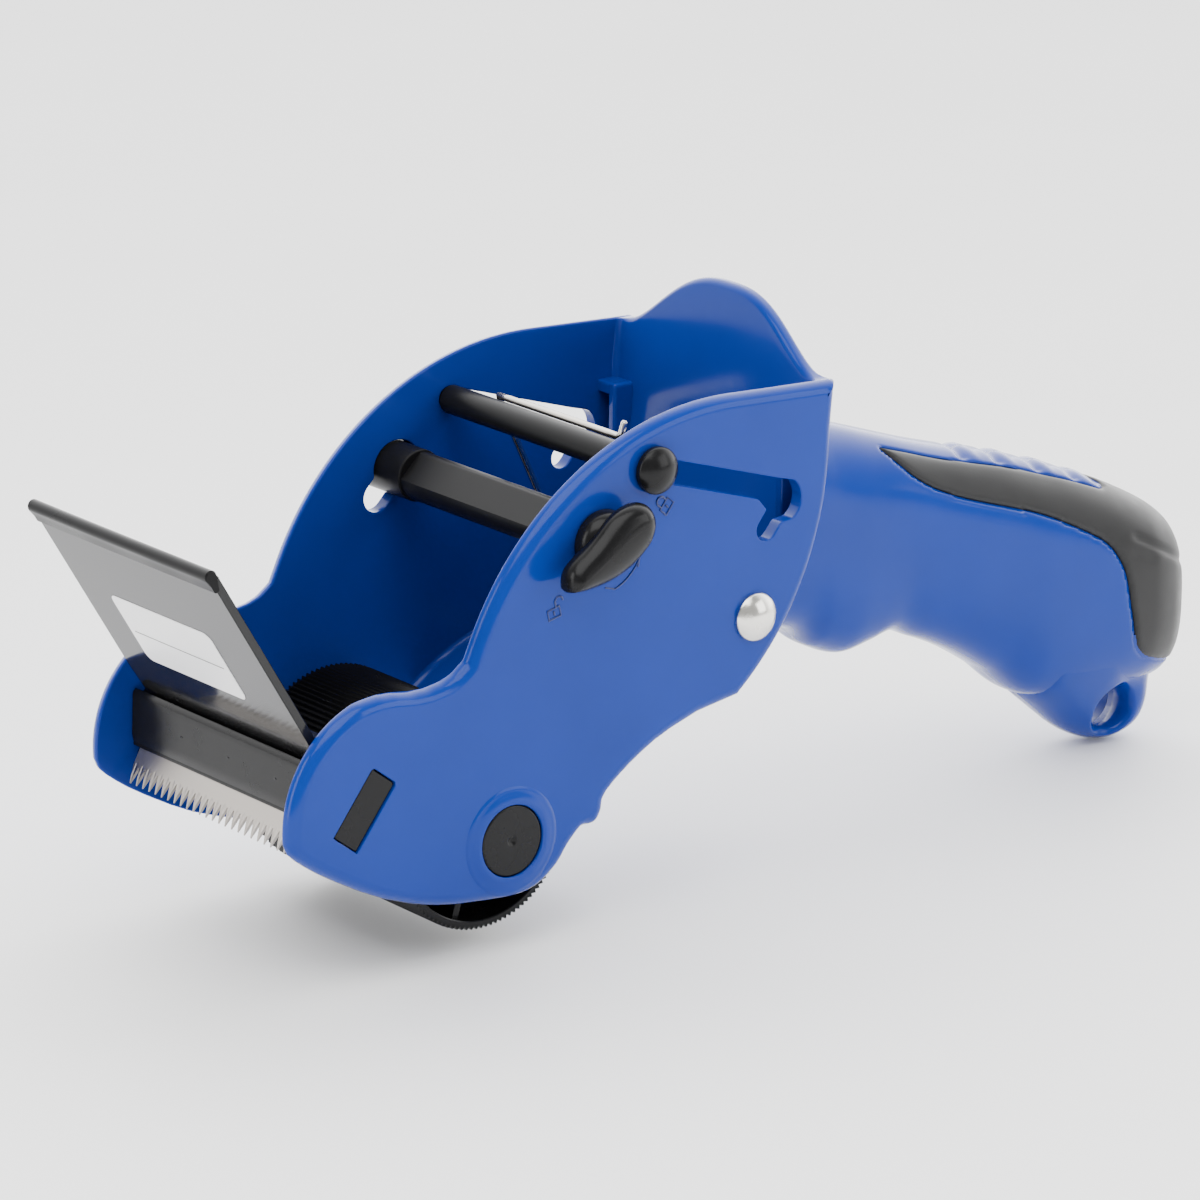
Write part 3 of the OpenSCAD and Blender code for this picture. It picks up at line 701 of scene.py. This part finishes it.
def handle():
    """The handle's skin as rows of points, and for each of its faces whether it is rubber."""
    m, step = ((168, 0.75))
    phis = [-90 + 360 * i / m for i in range(m)]
    begin, end, front = 98, 200, 14
    starts = []
    for phi in phis:
        x = 78.0
        for _ in range(6):
            x = wall_x(surf(x, phi).z)
        starts.append(x)
    rows = [[(x + (begin - x) * k / front, phi) for x, phi in zip(starts, phis)] for k in range(front)]
    xs = [begin + step * i for i in range(int((end - begin) / step) + 1)]
    xs += [200.8, 201.5, 202.2, 202.8, 203.3, 203.7, 204.0, END_X]
    rows += [[(x, phi) for phi in phis] for x in xs]
    n = len(rows)
    val = [[grip_value(surf(*q)) for q in row] for row in rows]
    rubber = {(i, j): val[i][j] + val[i][(j + 1) % m] + val[i + 1][j] + val[i + 1][(j + 1) % m] > 0
              for i in range(n - 1) for j in range(m)}
    out = []
    for i, row in enumerate(rows):
        out.append([])
        for j, (x, phi) in enumerate(row):
            faces = ((i - 1, j), (i, j), (i - 1, (j - 1) % m), (i, (j - 1) % m))
            around = [rubber[q] for q in faces if q in rubber]
            border = any(around) and not all(around)
            if border and 0 < i < n - 1:
                x, phi = slide_to_border(x, phi)
            p, nv = surf(x, phi), skin_normal(x, phi)
            if (p - Vector((x, 0, mid_z(x)))).dot(nv) < 0:
                nv = -nv
            out[-1].append(p + nv * (-0.32 if border else relief(p, grip_value(p))))
    return out, rubber


pts, rubber = handle()
n_rows, n_around = len(pts), len(pts[0])


def handle_piece(name, want, mat, extra=None):
    """The skin's faces for which want(near side, rubber) is true, as a wall of its own."""
    b = Build()
    index = {}

    def point(i, j):
        j %= n_around
        if (i, j) not in index:
            index[i, j] = b.add([pts[i][j]])
        return index[i, j]

    def wanted(i, j):
        return want(-90 + 360 * (j + 0.5) / n_around < 90, rubber[i, j])

    for i in range(n_rows - 1):
        for j in range(n_around):
            if wanted(i, j):
                b.face([point(i, j), point(i + 1, j), point(i + 1, j + 1), point(i, j + 1)])
    tip = [j for j in range(n_around) if wanted(n_rows - 2, j)]
    if tip:
        k = b.add([(END_X + 0.1, 0, 28)])
        for j in tip:
            b.face([point(n_rows - 1, j), k, point(n_rows - 1, j + 1)])
    if extra:
        extra(b)
    ob = b.make(name, "frame", mat, merge=1e-4, weighted=False)
    shell = ob.modifiers.new("wall", "SOLIDIFY")
    shell.thickness = 1.8 * MM
    shell.offset = -1
    return ob


LOBE_EDGE = resample(chaikin([
    (158, 24), (159.5, 13.2), (162.2, 10.6), (164.5, 8.7), (169.4, 4.6), (172.6, 2), (175.8, 0), (179, -1.5),
    (182.6, -2.6), (185.8, -3), (189, -2.5), (191.8, -1.5), (194.1, 0.2), (195.8, 2.6), (197, 5.4), (197.5, 9),
    (197.0, 13), (195.0, 24)], 2, False), 0.8, False)
HANG = (183.6, 5.6)
SCREWS, SCREW_SEAT = [(98, 64), (128, 46), (172, 24)], 8.0


def body_half(x, z):
    lo, hi, w = z_low(x), z_high(x), z_half(x)
    t = min(1.0, abs(z - (lo + hi) / 2) / ((hi - lo) / 2))
    return w * (1 - t ** POWER) ** (1 / POWER)


def lobe_half(x, z):
    """Half thickness of the hanging lobe, flush with the handle's side above it."""
    best, _ = to_line(Vector((x, z)), LOBE_EDGE)
    r = 6.0
    edge = math.sqrt(1 - (1 - best / r) ** 2) if best < r else 1.0
    z1 = z_low(x) + 9.0 - 5.5 * smooth01((x - 178) / 9)
    if z >= z1:
        return min(body_half(x, z) - 0.16, 30 * edge)
    z0 = min(1.5, z1 - 6)
    v1, slope = body_half(x, z1), (body_half(x, z1 + 0.1) - body_half(x, z1 - 0.1)) / 0.2
    d = z1 - z0
    t = max(0.0, (z - z0) / d)
    h = 7.6 * (2 * t ** 3 - 3 * t ** 2 + 1) + v1 * (3 * t ** 2 - 2 * t ** 3) + slope * d * (t ** 3 - t ** 2)
    return h * edge - 0.16 * smooth01((z - z1 + 3) / 3)


def reach(u, loop):
    """Distance from the hanging hole's centre to an outline round it, in the direction u."""
    far = None
    for p, q in zip(loop, loop[1:] + loop[:1]):
        p, q = Vector(p) - Vector(HANG), Vector(q) - Vector(HANG)
        den = u.x * (q - p).y - u.y * (q - p).x
        if abs(den) < 1e-9:
            continue
        t = (p.x * (q - p).y - p.y * (q - p).x) / den
        w = (p.x * u.y - p.y * u.x) / den
        if t > 0 and -1e-6 <= w <= 1 + 1e-6 and (far is None or t < far):
            far = t
    return far


def lobe(b, side, closed=False):
    """One half of the hanging lobe with its funnel-mouthed hole, closed on the parting plane if wanted."""
    n, steps = 96, 20
    mouth, bore, flat = 6.7, 5.0, 3.5
    hang = Vector(HANG)
    ways = [unit(360 * i / n) for i in range(n)]
    rays = [(u, reach(u, LOBE_EDGE)) for u in ways]
    rings = []
    for k in range(steps + 1):
        f = 1 - (1 - k / steps) ** 1.8
        ring = [hang + u * (mouth + (far - mouth) * f) for u, far in rays]
        rings.append([at_y(p, side * (lobe_half(p.x, p.y) if k < steps else 0.0)) for p in ring])
    rings = rings[::-1]
    for k in range(1, 9):
        a = rad(90 * k / 8)
        r = bore + (mouth - bore) * (1 - math.sin(a))
        ring = []
        for u in ways:
            m = hang + u * mouth
            ring.append(at_y(hang + u * r, side * (flat + (lobe_half(m.x, m.y) - flat) * math.cos(a))))
        rings.append(ring)
    rings += [[at_y(hang + u * r, side * y) for u in ways] for r, y in ((bore, 0.06), (bore + 0.3, 0.0))]
    b.rings(rings + (rings[:1] if closed else []))


def carve(ob, places, r, y0, y1):
    """Cuts round holes through a piece's wall, along Y."""
    b = Build()
    for c in places:
        lathe(b, c, [(r, y0), (r, y1)], 40)
    me = b.mesh("cutter")
    bm = bmesh.new()
    bm.from_mesh(me)
    bmesh.ops.recalc_face_normals(bm, faces=bm.faces)
    bm.to_mesh(me)
    bm.free()
    cutter = link("cutter", me)
    cut = ob.modifiers.new("holes", "BOOLEAN")
    cut.object, cut.operation, cut.solver = cutter, "DIFFERENCE", "EXACT"
    bpy.context.view_layer.update()
    ob_cut = ob.evaluated_get(bpy.context.evaluated_depsgraph_get())
    done = bpy.data.meshes.new_from_object(ob_cut)
    ob.modifiers.clear()
    ob.data = done
    bm = bmesh.new()
    bm.from_mesh(done)
    shade(bm, 50)
    bm.to_mesh(done)
    bm.free()
    bpy.data.objects.remove(cutter)
    bpy.data.meshes.remove(me)


near_shell = handle_piece("handle_near", lambda near, soft: near and not soft, BLUE,
                          lambda b: lobe(b, NEAR))
far_shell = handle_piece("handle_far", lambda near, soft: not near and not soft, BLUE)
carve(far_shell, SCREWS, 3.1, SCREW_SEAT, 20)
b = Build()
lobe(b, FAR, closed=True)
far_lobe = b.make("handle_far_lobe", "frame", BLUE, merge=1e-4, weighted=False, angle=50)
carve(far_lobe, SCREWS[2:], 3.1, SCREW_SEAT - 0.3, 20)
b = Build()
for c in SCREWS:                                   # the tubes that the handle's screws sit in
    top = body_half(*c) - 0.9
    base = SCREW_SEAT - 1.5
    lathe(b, c, [(1.6, base), (4.2, base), (4.3, base + 0.1), (4.3, top), (3.1, top), (3.1, SCREW_SEAT),
                 (1.6, SCREW_SEAT), (1.6, base)], 40)
b.make("handle_far_bosses", "frame", BLUE, weighted=False, angle=50)
grip = handle_piece("handle_grip", lambda near, soft: soft, GRIP)
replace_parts(near_shell, "handle_near_shell")
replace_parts(far_shell, "handle_far_shell")
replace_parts(grip, "grip_insert")

# ---- roller

def roller():
    b = Build()
    teeth, tooth_h, lean = 108, 0.7, 0.72
    pitch = 360 / teeth
    outer = []
    for i in range(teeth):
        outer += [(ROLLER_R - tooth_h, i * pitch), (ROLLER_R, (i + lean) * pitch)]

    def ring(y, drop=0.0, r=None):
        """The teeth's outline drop inside their tips, or a plain circle with points at the same angles."""
        return [(ROLLER_C[0] + (r or tip - drop) * math.cos(rad(a)), y,
                 ROLLER_C[1] + (r or tip - drop) * math.sin(rad(a))) for tip, a in outer]

    L, ri = ROLLER_HALF, ROLLER_R - tooth_h - 1.2
    b.rings([ring(-L + 0.2, r=ri), ring(-L, r=ri + 0.2), ring(-L, 0.25), ring(-L + 0.3), ring(L - 0.3),
             ring(L, 0.25), ring(L, r=ri + 0.2), ring(L - 0.2, r=ri), ring(-L + 0.2, r=ri)])
    hub = [(3.05, -L + 2), (6.1, -L + 2), (6.5, -L + 2.4), (6.5, L - 2.4), (6.1, L - 2), (3.05, L - 2)]
    lathe(b, ROLLER_C, hub, 48)
    for k in range(6):
        u, n, c = unit(60 * k - 107), unit(60 * k - 17), Vector(ROLLER_C)
        spoke = [c + u * r + n * w for r, w in ((6, 0.8), (ri + 0.3, 0.8), (ri + 0.3, -0.8), (6, -0.8))]
        plate(b, [tuple(p) for p in spoke], -L + 2, L - 2, 0.25, 0.25, steps=2)
    return b.make("press_roller_drum", "press_roller", BLACK, angle=35)


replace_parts(roller(), "roller")

for side, name in SIDES:
    b = Build()
    y, rib_y = HALF_W + 0.3, ROLLER_HALF + 0.3
    prof = [(0.0, y - 0.55), (0.5, y - 0.45), (0.95, y - 0.15), (1.3, y), (6.6, y + 0.02), (7.0, y - 0.05),
            (7.22, y - 0.3), (7.26, y - 0.8), (7.26, INNER), (6.5, INNER), (6.5, rib_y + 0.2), (6.3, rib_y),
            (3.05, rib_y)]
    lathe(b, ROLLER_C, [(r, side * yy) for r, yy in prof], 72)
    cover = b.make("roller_plug_cover_" + name, "frame", BLACK, angle=40)
    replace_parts(cover, "roller_plug_" + name)

# ---- cutting head

BLADE_LOW, BLADE_DIR = Vector((-46.3, 24.6)), 62.2


def on_blade(s, off):
    """Side-view point on the blade: s up from its points, off out of its middle plane."""
    return tuple(BLADE_LOW + unit(BLADE_DIR) * s + unit(BLADE_DIR + 90) * off)


def blade():
    b = Build()
    teeth, pitch, depth, height, t = 27, 2.2, 3.6, 13.4, 0.3
    edge = []                                      # y, height and thickness along the teeth
    for i in range(teeth):
        y = (i - teeth / 2) * pitch
        edge += [(y + 0.12, depth, t), (y + 0.72, depth * 0.42, t), (y + pitch / 2 - 0.09, 0.05, t * 0.3),
                 (y + pitch / 2 + 0.09, 0.05, t * 0.3), (y + pitch - 0.72, depth * 0.42, t),
                 (y + pitch - 0.12, depth, t)]

    def straight(at, half):
        return [at_y(on_blade(at, half), y) for y, _, _ in edge]

    tips = {way: [at_y(on_blade(at, way * half), y) for y, at, half in edge] for way in (1, -1)}
    for way in (1, -1):
        b.rings([tips[way], straight(depth + 0.5, way * t), straight(height, way * t)], closed=False)
    b.rings([tips[1], tips[-1]], closed=False)
    b.rings([straight(height, t), straight(height, -t)], closed=False)
    for y in (edge[0][0], edge[-1][0]):
        ends = [[at_y(on_blade(at, half), y) for half in (t, -t)] for at in (depth, depth + 0.5, height)]
        b.rings(ends, closed=False)
    return b.make("blade_strip", "frame", BLADE, angle=4, weighted=False)


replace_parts(blade(), "cutter_blade")

HOLD = INNER - 0.1
GROOVE_R = 2.9                 # of the groove for the flap's barrel
holder = [on_blade(4, -0.32), on_blade(14.2, -0.32)] + arc(FLAP_C, GROOVE_R, 268, 360, 10)
holder += [(-36.1, 44.1), (-31.5, 43.6), (-26.8, 37.7), (-36.2, 25.3)]
holder_end = [(-41.5, 36.0), (-41.0, 42.0), (-39.0, 43.6), (-36, 44.5), (-31.5, 43.6), (-26.8, 37.7),
              (-36.2, 25.3), (-39, 27.5)]
b = Build()
plate(b, resample(holder, 0.9), -HOLD + 2.3, HOLD - 2.3, 0.3, 0.3, steps=3)
for side in (NEAR, FAR):
    plate(b, resample(holder_end, 1.0), side * (HOLD - 2.2), side * HOLD, 0.3, 0.2, steps=3)
    plate(b, resample(window_outline(), 1.0), side * (HOLD - 0.5), side * (HALF_W - 0.35), 0.2, 0.35, steps=2)
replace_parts(b.make("blade_carrier", "frame", BLACK, angle=40), "blade_holder")

clamp = [(-43.4, 31.4), (-43.9, 33.5), (-43.6, 42.4), (-42.9, 43.1), (-42.1, 42.7), (-41.95, 41.6)]
clamp += arc(FLAP_C, GROOVE_R + 0.05, 180, 250, 8) + [on_blade(14.0, 0.32), on_blade(7.1, 0.32)]
lip = [on_blade(7.3, 0.3), on_blade(7.3, 1.0), on_blade(9.0, 1.2), on_blade(9.0, 0.3)]
b = Build()
plate(b, resample(clamp, 0.8), -HOLD + 0.1, HOLD - 0.1, 0.35, 0.35, steps=3)
plate(b, resample(lip, 0.5), -HOLD + 0.3, HOLD - 0.3, 0.2, 0.2, steps=2)
for y in (-18, -2, 14):
    lathe(b, (-43.45, 37.5), [(0.0, y - 0.45), (0.35, y - 0.4), (0.45, y), (0.35, y + 0.4), (0.0, y + 0.45)], 16)
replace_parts(b.make("blade_clamp_bar", "frame", BLACK, angle=40), "blade_clamp")


def on_flap(x, y, z):
    """A point drawn upright over the flap's pin, leaned forward with the flap."""
    a = rad(-FLAP_LEAN)
    return (FLAP_C[0] + x * math.cos(a) + z * math.sin(a), y, FLAP_C[1] - x * math.sin(a) + z * math.cos(a))


def flap():
    """The plate, the bead along its tip in a duller, darker black that is painted shade, and the two barrels on
    its pin.
    """
    b = Build()
    bar_half = HOLD - 2.2 - 0.3
    h, tip, half = FLAP_T / 2, FLAP_LEN, FLAP_W / 2
    sec = [(-h, 2.0), (-h, 10), (-h, 22), (-h, 36), (-h, tip - 1.5)]
    sec += [(-x, z) for x, z in sec[::-1]]
    # the bead takes material 1, a duller and darker black: painted shade, as the real bead is the flap's own
    # plastic and only looks dark from the way light falls on it
    bead = [(-h + 0.3, tip - 4.3), (-h - 0.3, tip - 4.2), (-h - 0.5, tip - 3.9), (-h - 0.5, tip - 2.6)]
    bead += arc((-0.45, tip - 0.7), 1.3, 195, -30, 15)
    bead += [(h + 0.1, tip - 2.0), (h - 0.3, tip - 2.2)]
    ys = [-half] + [-half + 0.25 + (FLAP_W - 0.5) * i / 30 for i in range(31)] + [half]
    for shape, mat, mx, mz in ((sec, 0, 0, tip / 2), (bead, 1, -0.45, tip - 1.6)):
        rings = []
        for y in ys:
            shrink = 0.22 if abs(y) > half - 0.1 else 0.0
            bow = 0.05 * math.cos(math.pi * y / FLAP_W)
            ring = []
            for x, z in shape:
                yy = max(-bar_half, min(bar_half, y)) if z < 3.8 else y
                ring.append(on_flap(x - math.copysign(min(shrink, abs(x - mx)), x - mx) - bow,
                                    yy * (1.003 if mat else 1), z - math.copysign(shrink * mat, z - mz)))
            rings.append(ring)
        b.rings(rings, cap0=True, cap1=True, mat=mat)
    for y0, y1 in ((-bar_half, -6.0), (6.0, bar_half)):
        b.rings([[on_flap(x, y, z) for x, z in circle((0, 0), r, 32)]
                 for y, r in ((y0, 2.1), (y0 + 0.4, 2.5), (y1 - 0.4, 2.5), (y1, 2.1))], cap0=True, cap1=True)
    return b.make("wiper_flap", "flap", [SMOKE, SATIN_AND_BEAD_SHADE], angle=38)


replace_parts(flap(), "press_flap")


def label():
    b = Build()
    w, hgt, r, t = 34.0, 17.4, 2.0, 0.2
    cy, cz = 1.7, 24.3
    sheet = []
    for sy, sz, a0 in ((1, 1, 0), (-1, 1, 90), (-1, -1, 180), (1, -1, 270)):
        sheet += arc((cy + sy * (w / 2 - r), cz + sz * (hgt / 2 - r)), r, a0, a0 + 90, 8)
    x0, x1 = -FLAP_T / 2 - 0.03, -FLAP_T / 2 - t
    b.rings([[on_flap(x0, y, z) for y, z in sheet], [on_flap(x1 + 0.05, y, z) for y, z in sheet],
             [on_flap(x1, cy + (y - cy) * 0.994, cz + (z - cz) * 0.99) for y, z in sheet]], cap0=True, cap1=True)
    y0, y1, z0, z1 = cy - w / 2 + 1.8, cy + w / 2 - 1.8, cz - 0.75, cz - 0.5
    line = ((y0, z0), (y1, z0), (y1, z1), (y0, z1))
    b.rings([[on_flap(x, y, z) for y, z in line] for x in (x1 + 0.05, x1 - 0.02)], 1, cap0=True, cap1=True)
    return b.make("flap_sticker", "flap", [LABEL, INK], angle=40)


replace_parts(label(), "flap_label")


def flap_spring():
    """The coil between the barrels, with one leg held in the holder and one on the flap."""
    r, turns, wire_r, leg_y = 1.6, 7, 0.35, 2.4
    path = []
    for i in range(turns * 16 + 1):
        a = 2 * math.pi * i / 16
        y = leg_y * (i / 8 / turns - 1)
        path.append((FLAP_C[0] + r * math.cos(a), y, FLAP_C[1] + r * math.sin(a)))
    b = Build()
    tube(b, path + [(-35.9, leg_y, 43.4)], wire_r, 8)
    coil = b.make("flap_coil", "frame", STEEL, weighted=False)
    b = Build()
    tube(b, [on_flap(x, -2.6, z) for x, z in ((1.7, 0), (1.5, 3), (1.25, 6.5))], wire_r, 8)
    b.make("flap_coil_leg", "flap", STEEL, weighted=False)
    return coil


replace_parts(flap_spring(), "flap_spring")

# ---- spindle

def spindle():
    """Bar with a flat between two round journals, and a lug on its far end that keeps it in."""
    b = Build()
    r, flat = 5.0, 3.6
    a0 = math.degrees(math.acos(flat / r))
    bar = resample(arc(SPINDLE_C, r, 135 + a0, 135 + 360 - a0, 56), 0.5)
    plate(b, bar, -INNER + 5.6, INNER - 7.6, 0.25, 0.25, steps=3)
    lathe(b, SPINDLE_C, edge_profile(5.4, -HALF_W - 0.3, -INNER + 6, 0.4))
    lathe(b, SPINDLE_C, edge_profile(5.4, INNER - 8, HALF_W + 2.9, 0.4))
    c, way, half = Vector(SPINDLE_C), 17, 2.7
    n, tip = unit(way + 90), c + unit(way) * 7.1
    lug = [tuple(c - n * half), tuple(tip - n * half)] + arc(tip, half, way - 90, way + 90, 10)
    lug.append(tuple(c + n * half))
    plate(b, resample(lug, 0.5), HALF_W + 2.5, HALF_W + 0.32, 0.4, 0.2, steps=3)
    return b.make("spindle_rod", "spindle", SATIN_AND_BEAD_SHADE, angle=40)


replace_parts(spindle(), "spindle_bar")


WING = [(8.9, 70.8), (8.8, 71.4), (8.8, 73.2), (9.5, 75.2), (11.4, 76.9), (14.0, 78.6), (16.2, 80.3),
        (18.2, 82.2), (20.5, 84.1), (23.4, 85.4), (26.4, 85.8), (28.9, 84.8), (30.2, 82.5), (30.3, 79.8),
        (29.0, 76.9), (26.2, 74.2), (22.6, 72.1), (18.2, 70.8), (13.6, 70.3), (10.2, 70.4), (9.3, 70.5)]


def knob():
    """Thumb wing on a round hub; the wing is drawn at its widest and narrows to its crown and foot."""
    b = Build()
    outline = resample(chaikin(WING, 2), 0.7)
    y_face = -HALF_W - 8.6
    axis = (Vector((11.2, 72.6)), Vector((26.2, 81.6)))
    d = axis[1] - axis[0]

    def spine(p):
        t = min(1, max(0, (Vector(p) - axis[0]).dot(d) / d.length_squared))
        return axis[0] + d * t

    prof = [(math.sin(rad(a)), 3.6 * (1 - math.cos(rad(a)))) for a in (2, 10, 20, 30, 40, 50, 60, 70, 80, 90)]
    prof += [(0.985, 4.3), (0.93, 4.9), (0.82, 5.4), (0.62, 5.9)]
    pairs = [(Vector(p), spine(p)) for p in outline]
    rings = [[at_y(q + (p - q) * k, y_face + depth) for p, q in pairs] for k, depth in prof]
    b.rings(rings, cap0=True, cap1=True)
    hub = [(0.0, 5.6), (2.0, 5.5), (3.9, 5.1), (5.4, 4.4), (6.3, 3.4), (6.7, 2.2), (6.7, 0.7), (6.5, 0.32),
           (0.0, 0.32)]
    lathe(b, SPINDLE_C, [(r, -HALF_W - out) for r, out in hub], 56)
    return b.make("spindle_grip", "spindle", BLACK, angle=60)


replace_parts(knob(), "spindle_knob")

# ---- brake shaft, springs, cross pin

half = INNER - 0.6
rod = [(3.0, half - 0.3), (2.7, half), (2.1, half + 0.01), (2.1, HALF_W + 2), (0, HALF_W + 2)]
b = Build()
lathe(b, SHAFT_C, [(r, -y) for r, y in rod[::-1]] + rod, 48)
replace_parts(b.make("brake_rod", "brake", SATIN_AND_BEAD_SHADE, angle=35), "brake_shaft")
for side, name in SIDES:
    b = Build()
    y0 = HALF_W + 0.3
    prof = [(2.15, y0), (4.4, y0), (4.75, y0 + 0.3), (4.8, y0 + 1.2), (4.72, y0 + 1.5)]
    prof += dome_profile(4.62, y0 + 1.7, 1, 1.9, 12)
    lathe(b, SHAFT_C, [(r, side * y) for r, y in prof], 56)
    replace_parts(b.make("brake_cap_" + name, "brake", BLACK, angle=45), "shaft_cap_" + name)


def brake_spring():
    """One wire: hooked over the shaft, along it, down to the cross pin and coiled round the pin."""
    b = Build()
    coil_r, leg_y, rod_end, tail, a0 = 4.7, 19.5, -21.0, 3.6, 200
    top = Vector((SHAFT_C[0] + 2.9, SHAFT_C[1] + 2.9))
    end = Vector(PIN_C) + unit(a0) * coil_r
    path = [(top.x + 0.8, rod_end, top.y + 2.6), (top.x + 0.15, rod_end, top.y + 0.7)]
    path += [(top.x, rod_end + 0.8 + (leg_y - 1.6 - rod_end) * k / 12, top.y) for k in range(13)]
    path += [at_y(top.lerp(end, k / 16), leg_y) for k in range(1, 17)]
    for i in range(1, int(tail * 24) + 1):
        t = i / 24
        a = rad(a0) + 2 * math.pi * t
        path.append((PIN_C[0] + coil_r * math.cos(a), leg_y + 1.5 * t, PIN_C[1] + coil_r * math.sin(a)))
    tube(b, path, 0.75, 12)
    return b.make("brake_wire", None, WIRE, weighted=False), top


wire, wire_top = brake_spring()
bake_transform(wire)
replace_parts(wire, "brake_spring")

for side, name, node_name, base_h in ((NEAR, "cross_pin_head", "cross_pin", 0.6),
                                      (FAR, "cross_pin_end", "cross_pin_cap", 0.8)):
    b = Build()
    y0, r = HALF_W, 5.0
    prof = [(0, y0 - 0.3), (4.6, y0 - 0.3), (4.9, y0), (r, y0 + 0.25), (r, y0 + base_h)]
    prof += dome_profile(r, y0 + base_h + 0.05, 1, 2.3, 12)
    lathe(b, PIN_C, [(r, side * y) for r, y in prof], 64)
    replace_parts(b.make(name, "frame", CHROME, angle=50), node_name)
b = Build()
lathe(b, PIN_C, edge_profile(3.7, -INNER, INNER, 0.3), 40)
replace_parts(b.make("cross_sleeve", "frame", BLACK, angle=40), "spacer_tube")

# ---- CAD nodes that stay as they are

for node_name in ("roller_axle", "handle_screws", "blade_screws", "flap_pin"):
    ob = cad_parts[node_name]
    ob.data.materials.clear()
    ob.data.materials.append(STEEL)

# ---- stage

FLOOR_Z, FLOOR_HALF = -0.0032, 8.0                 # in metres, as are the lights and the camera
me = bpy.data.meshes.new("floor")
me.from_pydata([(x * FLOOR_HALF, y * FLOOR_HALF, FLOOR_Z) for x, y in ((-1, -1), (1, -1), (1, 1), (-1, 1))], [],
               [[0, 1, 2, 3]])
me.materials.append(material("pale_floor", (0.9, 0.9, 0.9), 0.6, spread=0.05, tone=0.005, wave_scale=4))
link("floor", me)

world = bpy.data.worlds.new("studio")
bpy.context.scene.world = world
world.use_nodes = True
wt = world.node_tree
back = wt.nodes["Background"]
back.inputs["Color"].default_value = (1.0, 1.0, 1.0, 1)
co = node(wt, "TexCoord", {})
dot = node(wt, "VectorMath", {1: (0.62, 0.78, 0.1)})             # brighter towards this side of the sky
dot.operation = "DOT_PRODUCT"
glow = node(wt, "MapRange", {"From Min": -0.1, "From Max": 0.75, "To Min": 0.55, "To Max": 5.5})
glow.interpolation_type = "SMOOTHSTEP"
wt.links.new(co.outputs["Generated"], dot.inputs[0])
wt.links.new(dot.outputs["Value"], glow.inputs["Value"])
wt.links.new(glow.outputs["Result"], back.inputs["Strength"])

for name, at, target, size, power in (("key_top", (-0.25, -0.35, 0.95), (0.06, 0, 0.05), (0.9, 0.7), 9),
                                      ("left_strip", (-0.9, 0.1, 0.35), (0.05, 0, 0.05), (0.25, 0.8), 4),
                                      ("right_fill", (0.6, -0.8, 0.45), (0.08, 0, 0.05), (0.6, 0.6), 4)):
    light = bpy.data.lights.new(name, "AREA")
    light.shape = "RECTANGLE"
    light.size, light.size_y = size
    light.energy = power
    ob = link(name, light)
    ob.location = at
    ob.rotation_euler = (Vector(target) - Vector(at)).to_track_quat("-Z", "Y").to_euler()

# the camera as fitted to the photo
cam = bpy.data.cameras.new("camera")
cam.lens = 181.95
cam.sensor_width = 36
cam.clip_end = 20
camera = link("camera", cam)
fwd = Vector((0.58796, 0.75600, -0.28768)).normalized()
right = fwd.cross(Vector((0.17124, 0.23126, 0.95770)).normalized()).normalized()
up = right.cross(fwd)
camera.matrix_world = Matrix(((right.x, up.x, -fwd.x, -0.6707), (right.y, up.y, -fwd.y, -0.9249),
                              (right.z, up.z, -fwd.z, 0.4043), (0, 0, 0, 1)))
bpy.context.scene.camera = camera
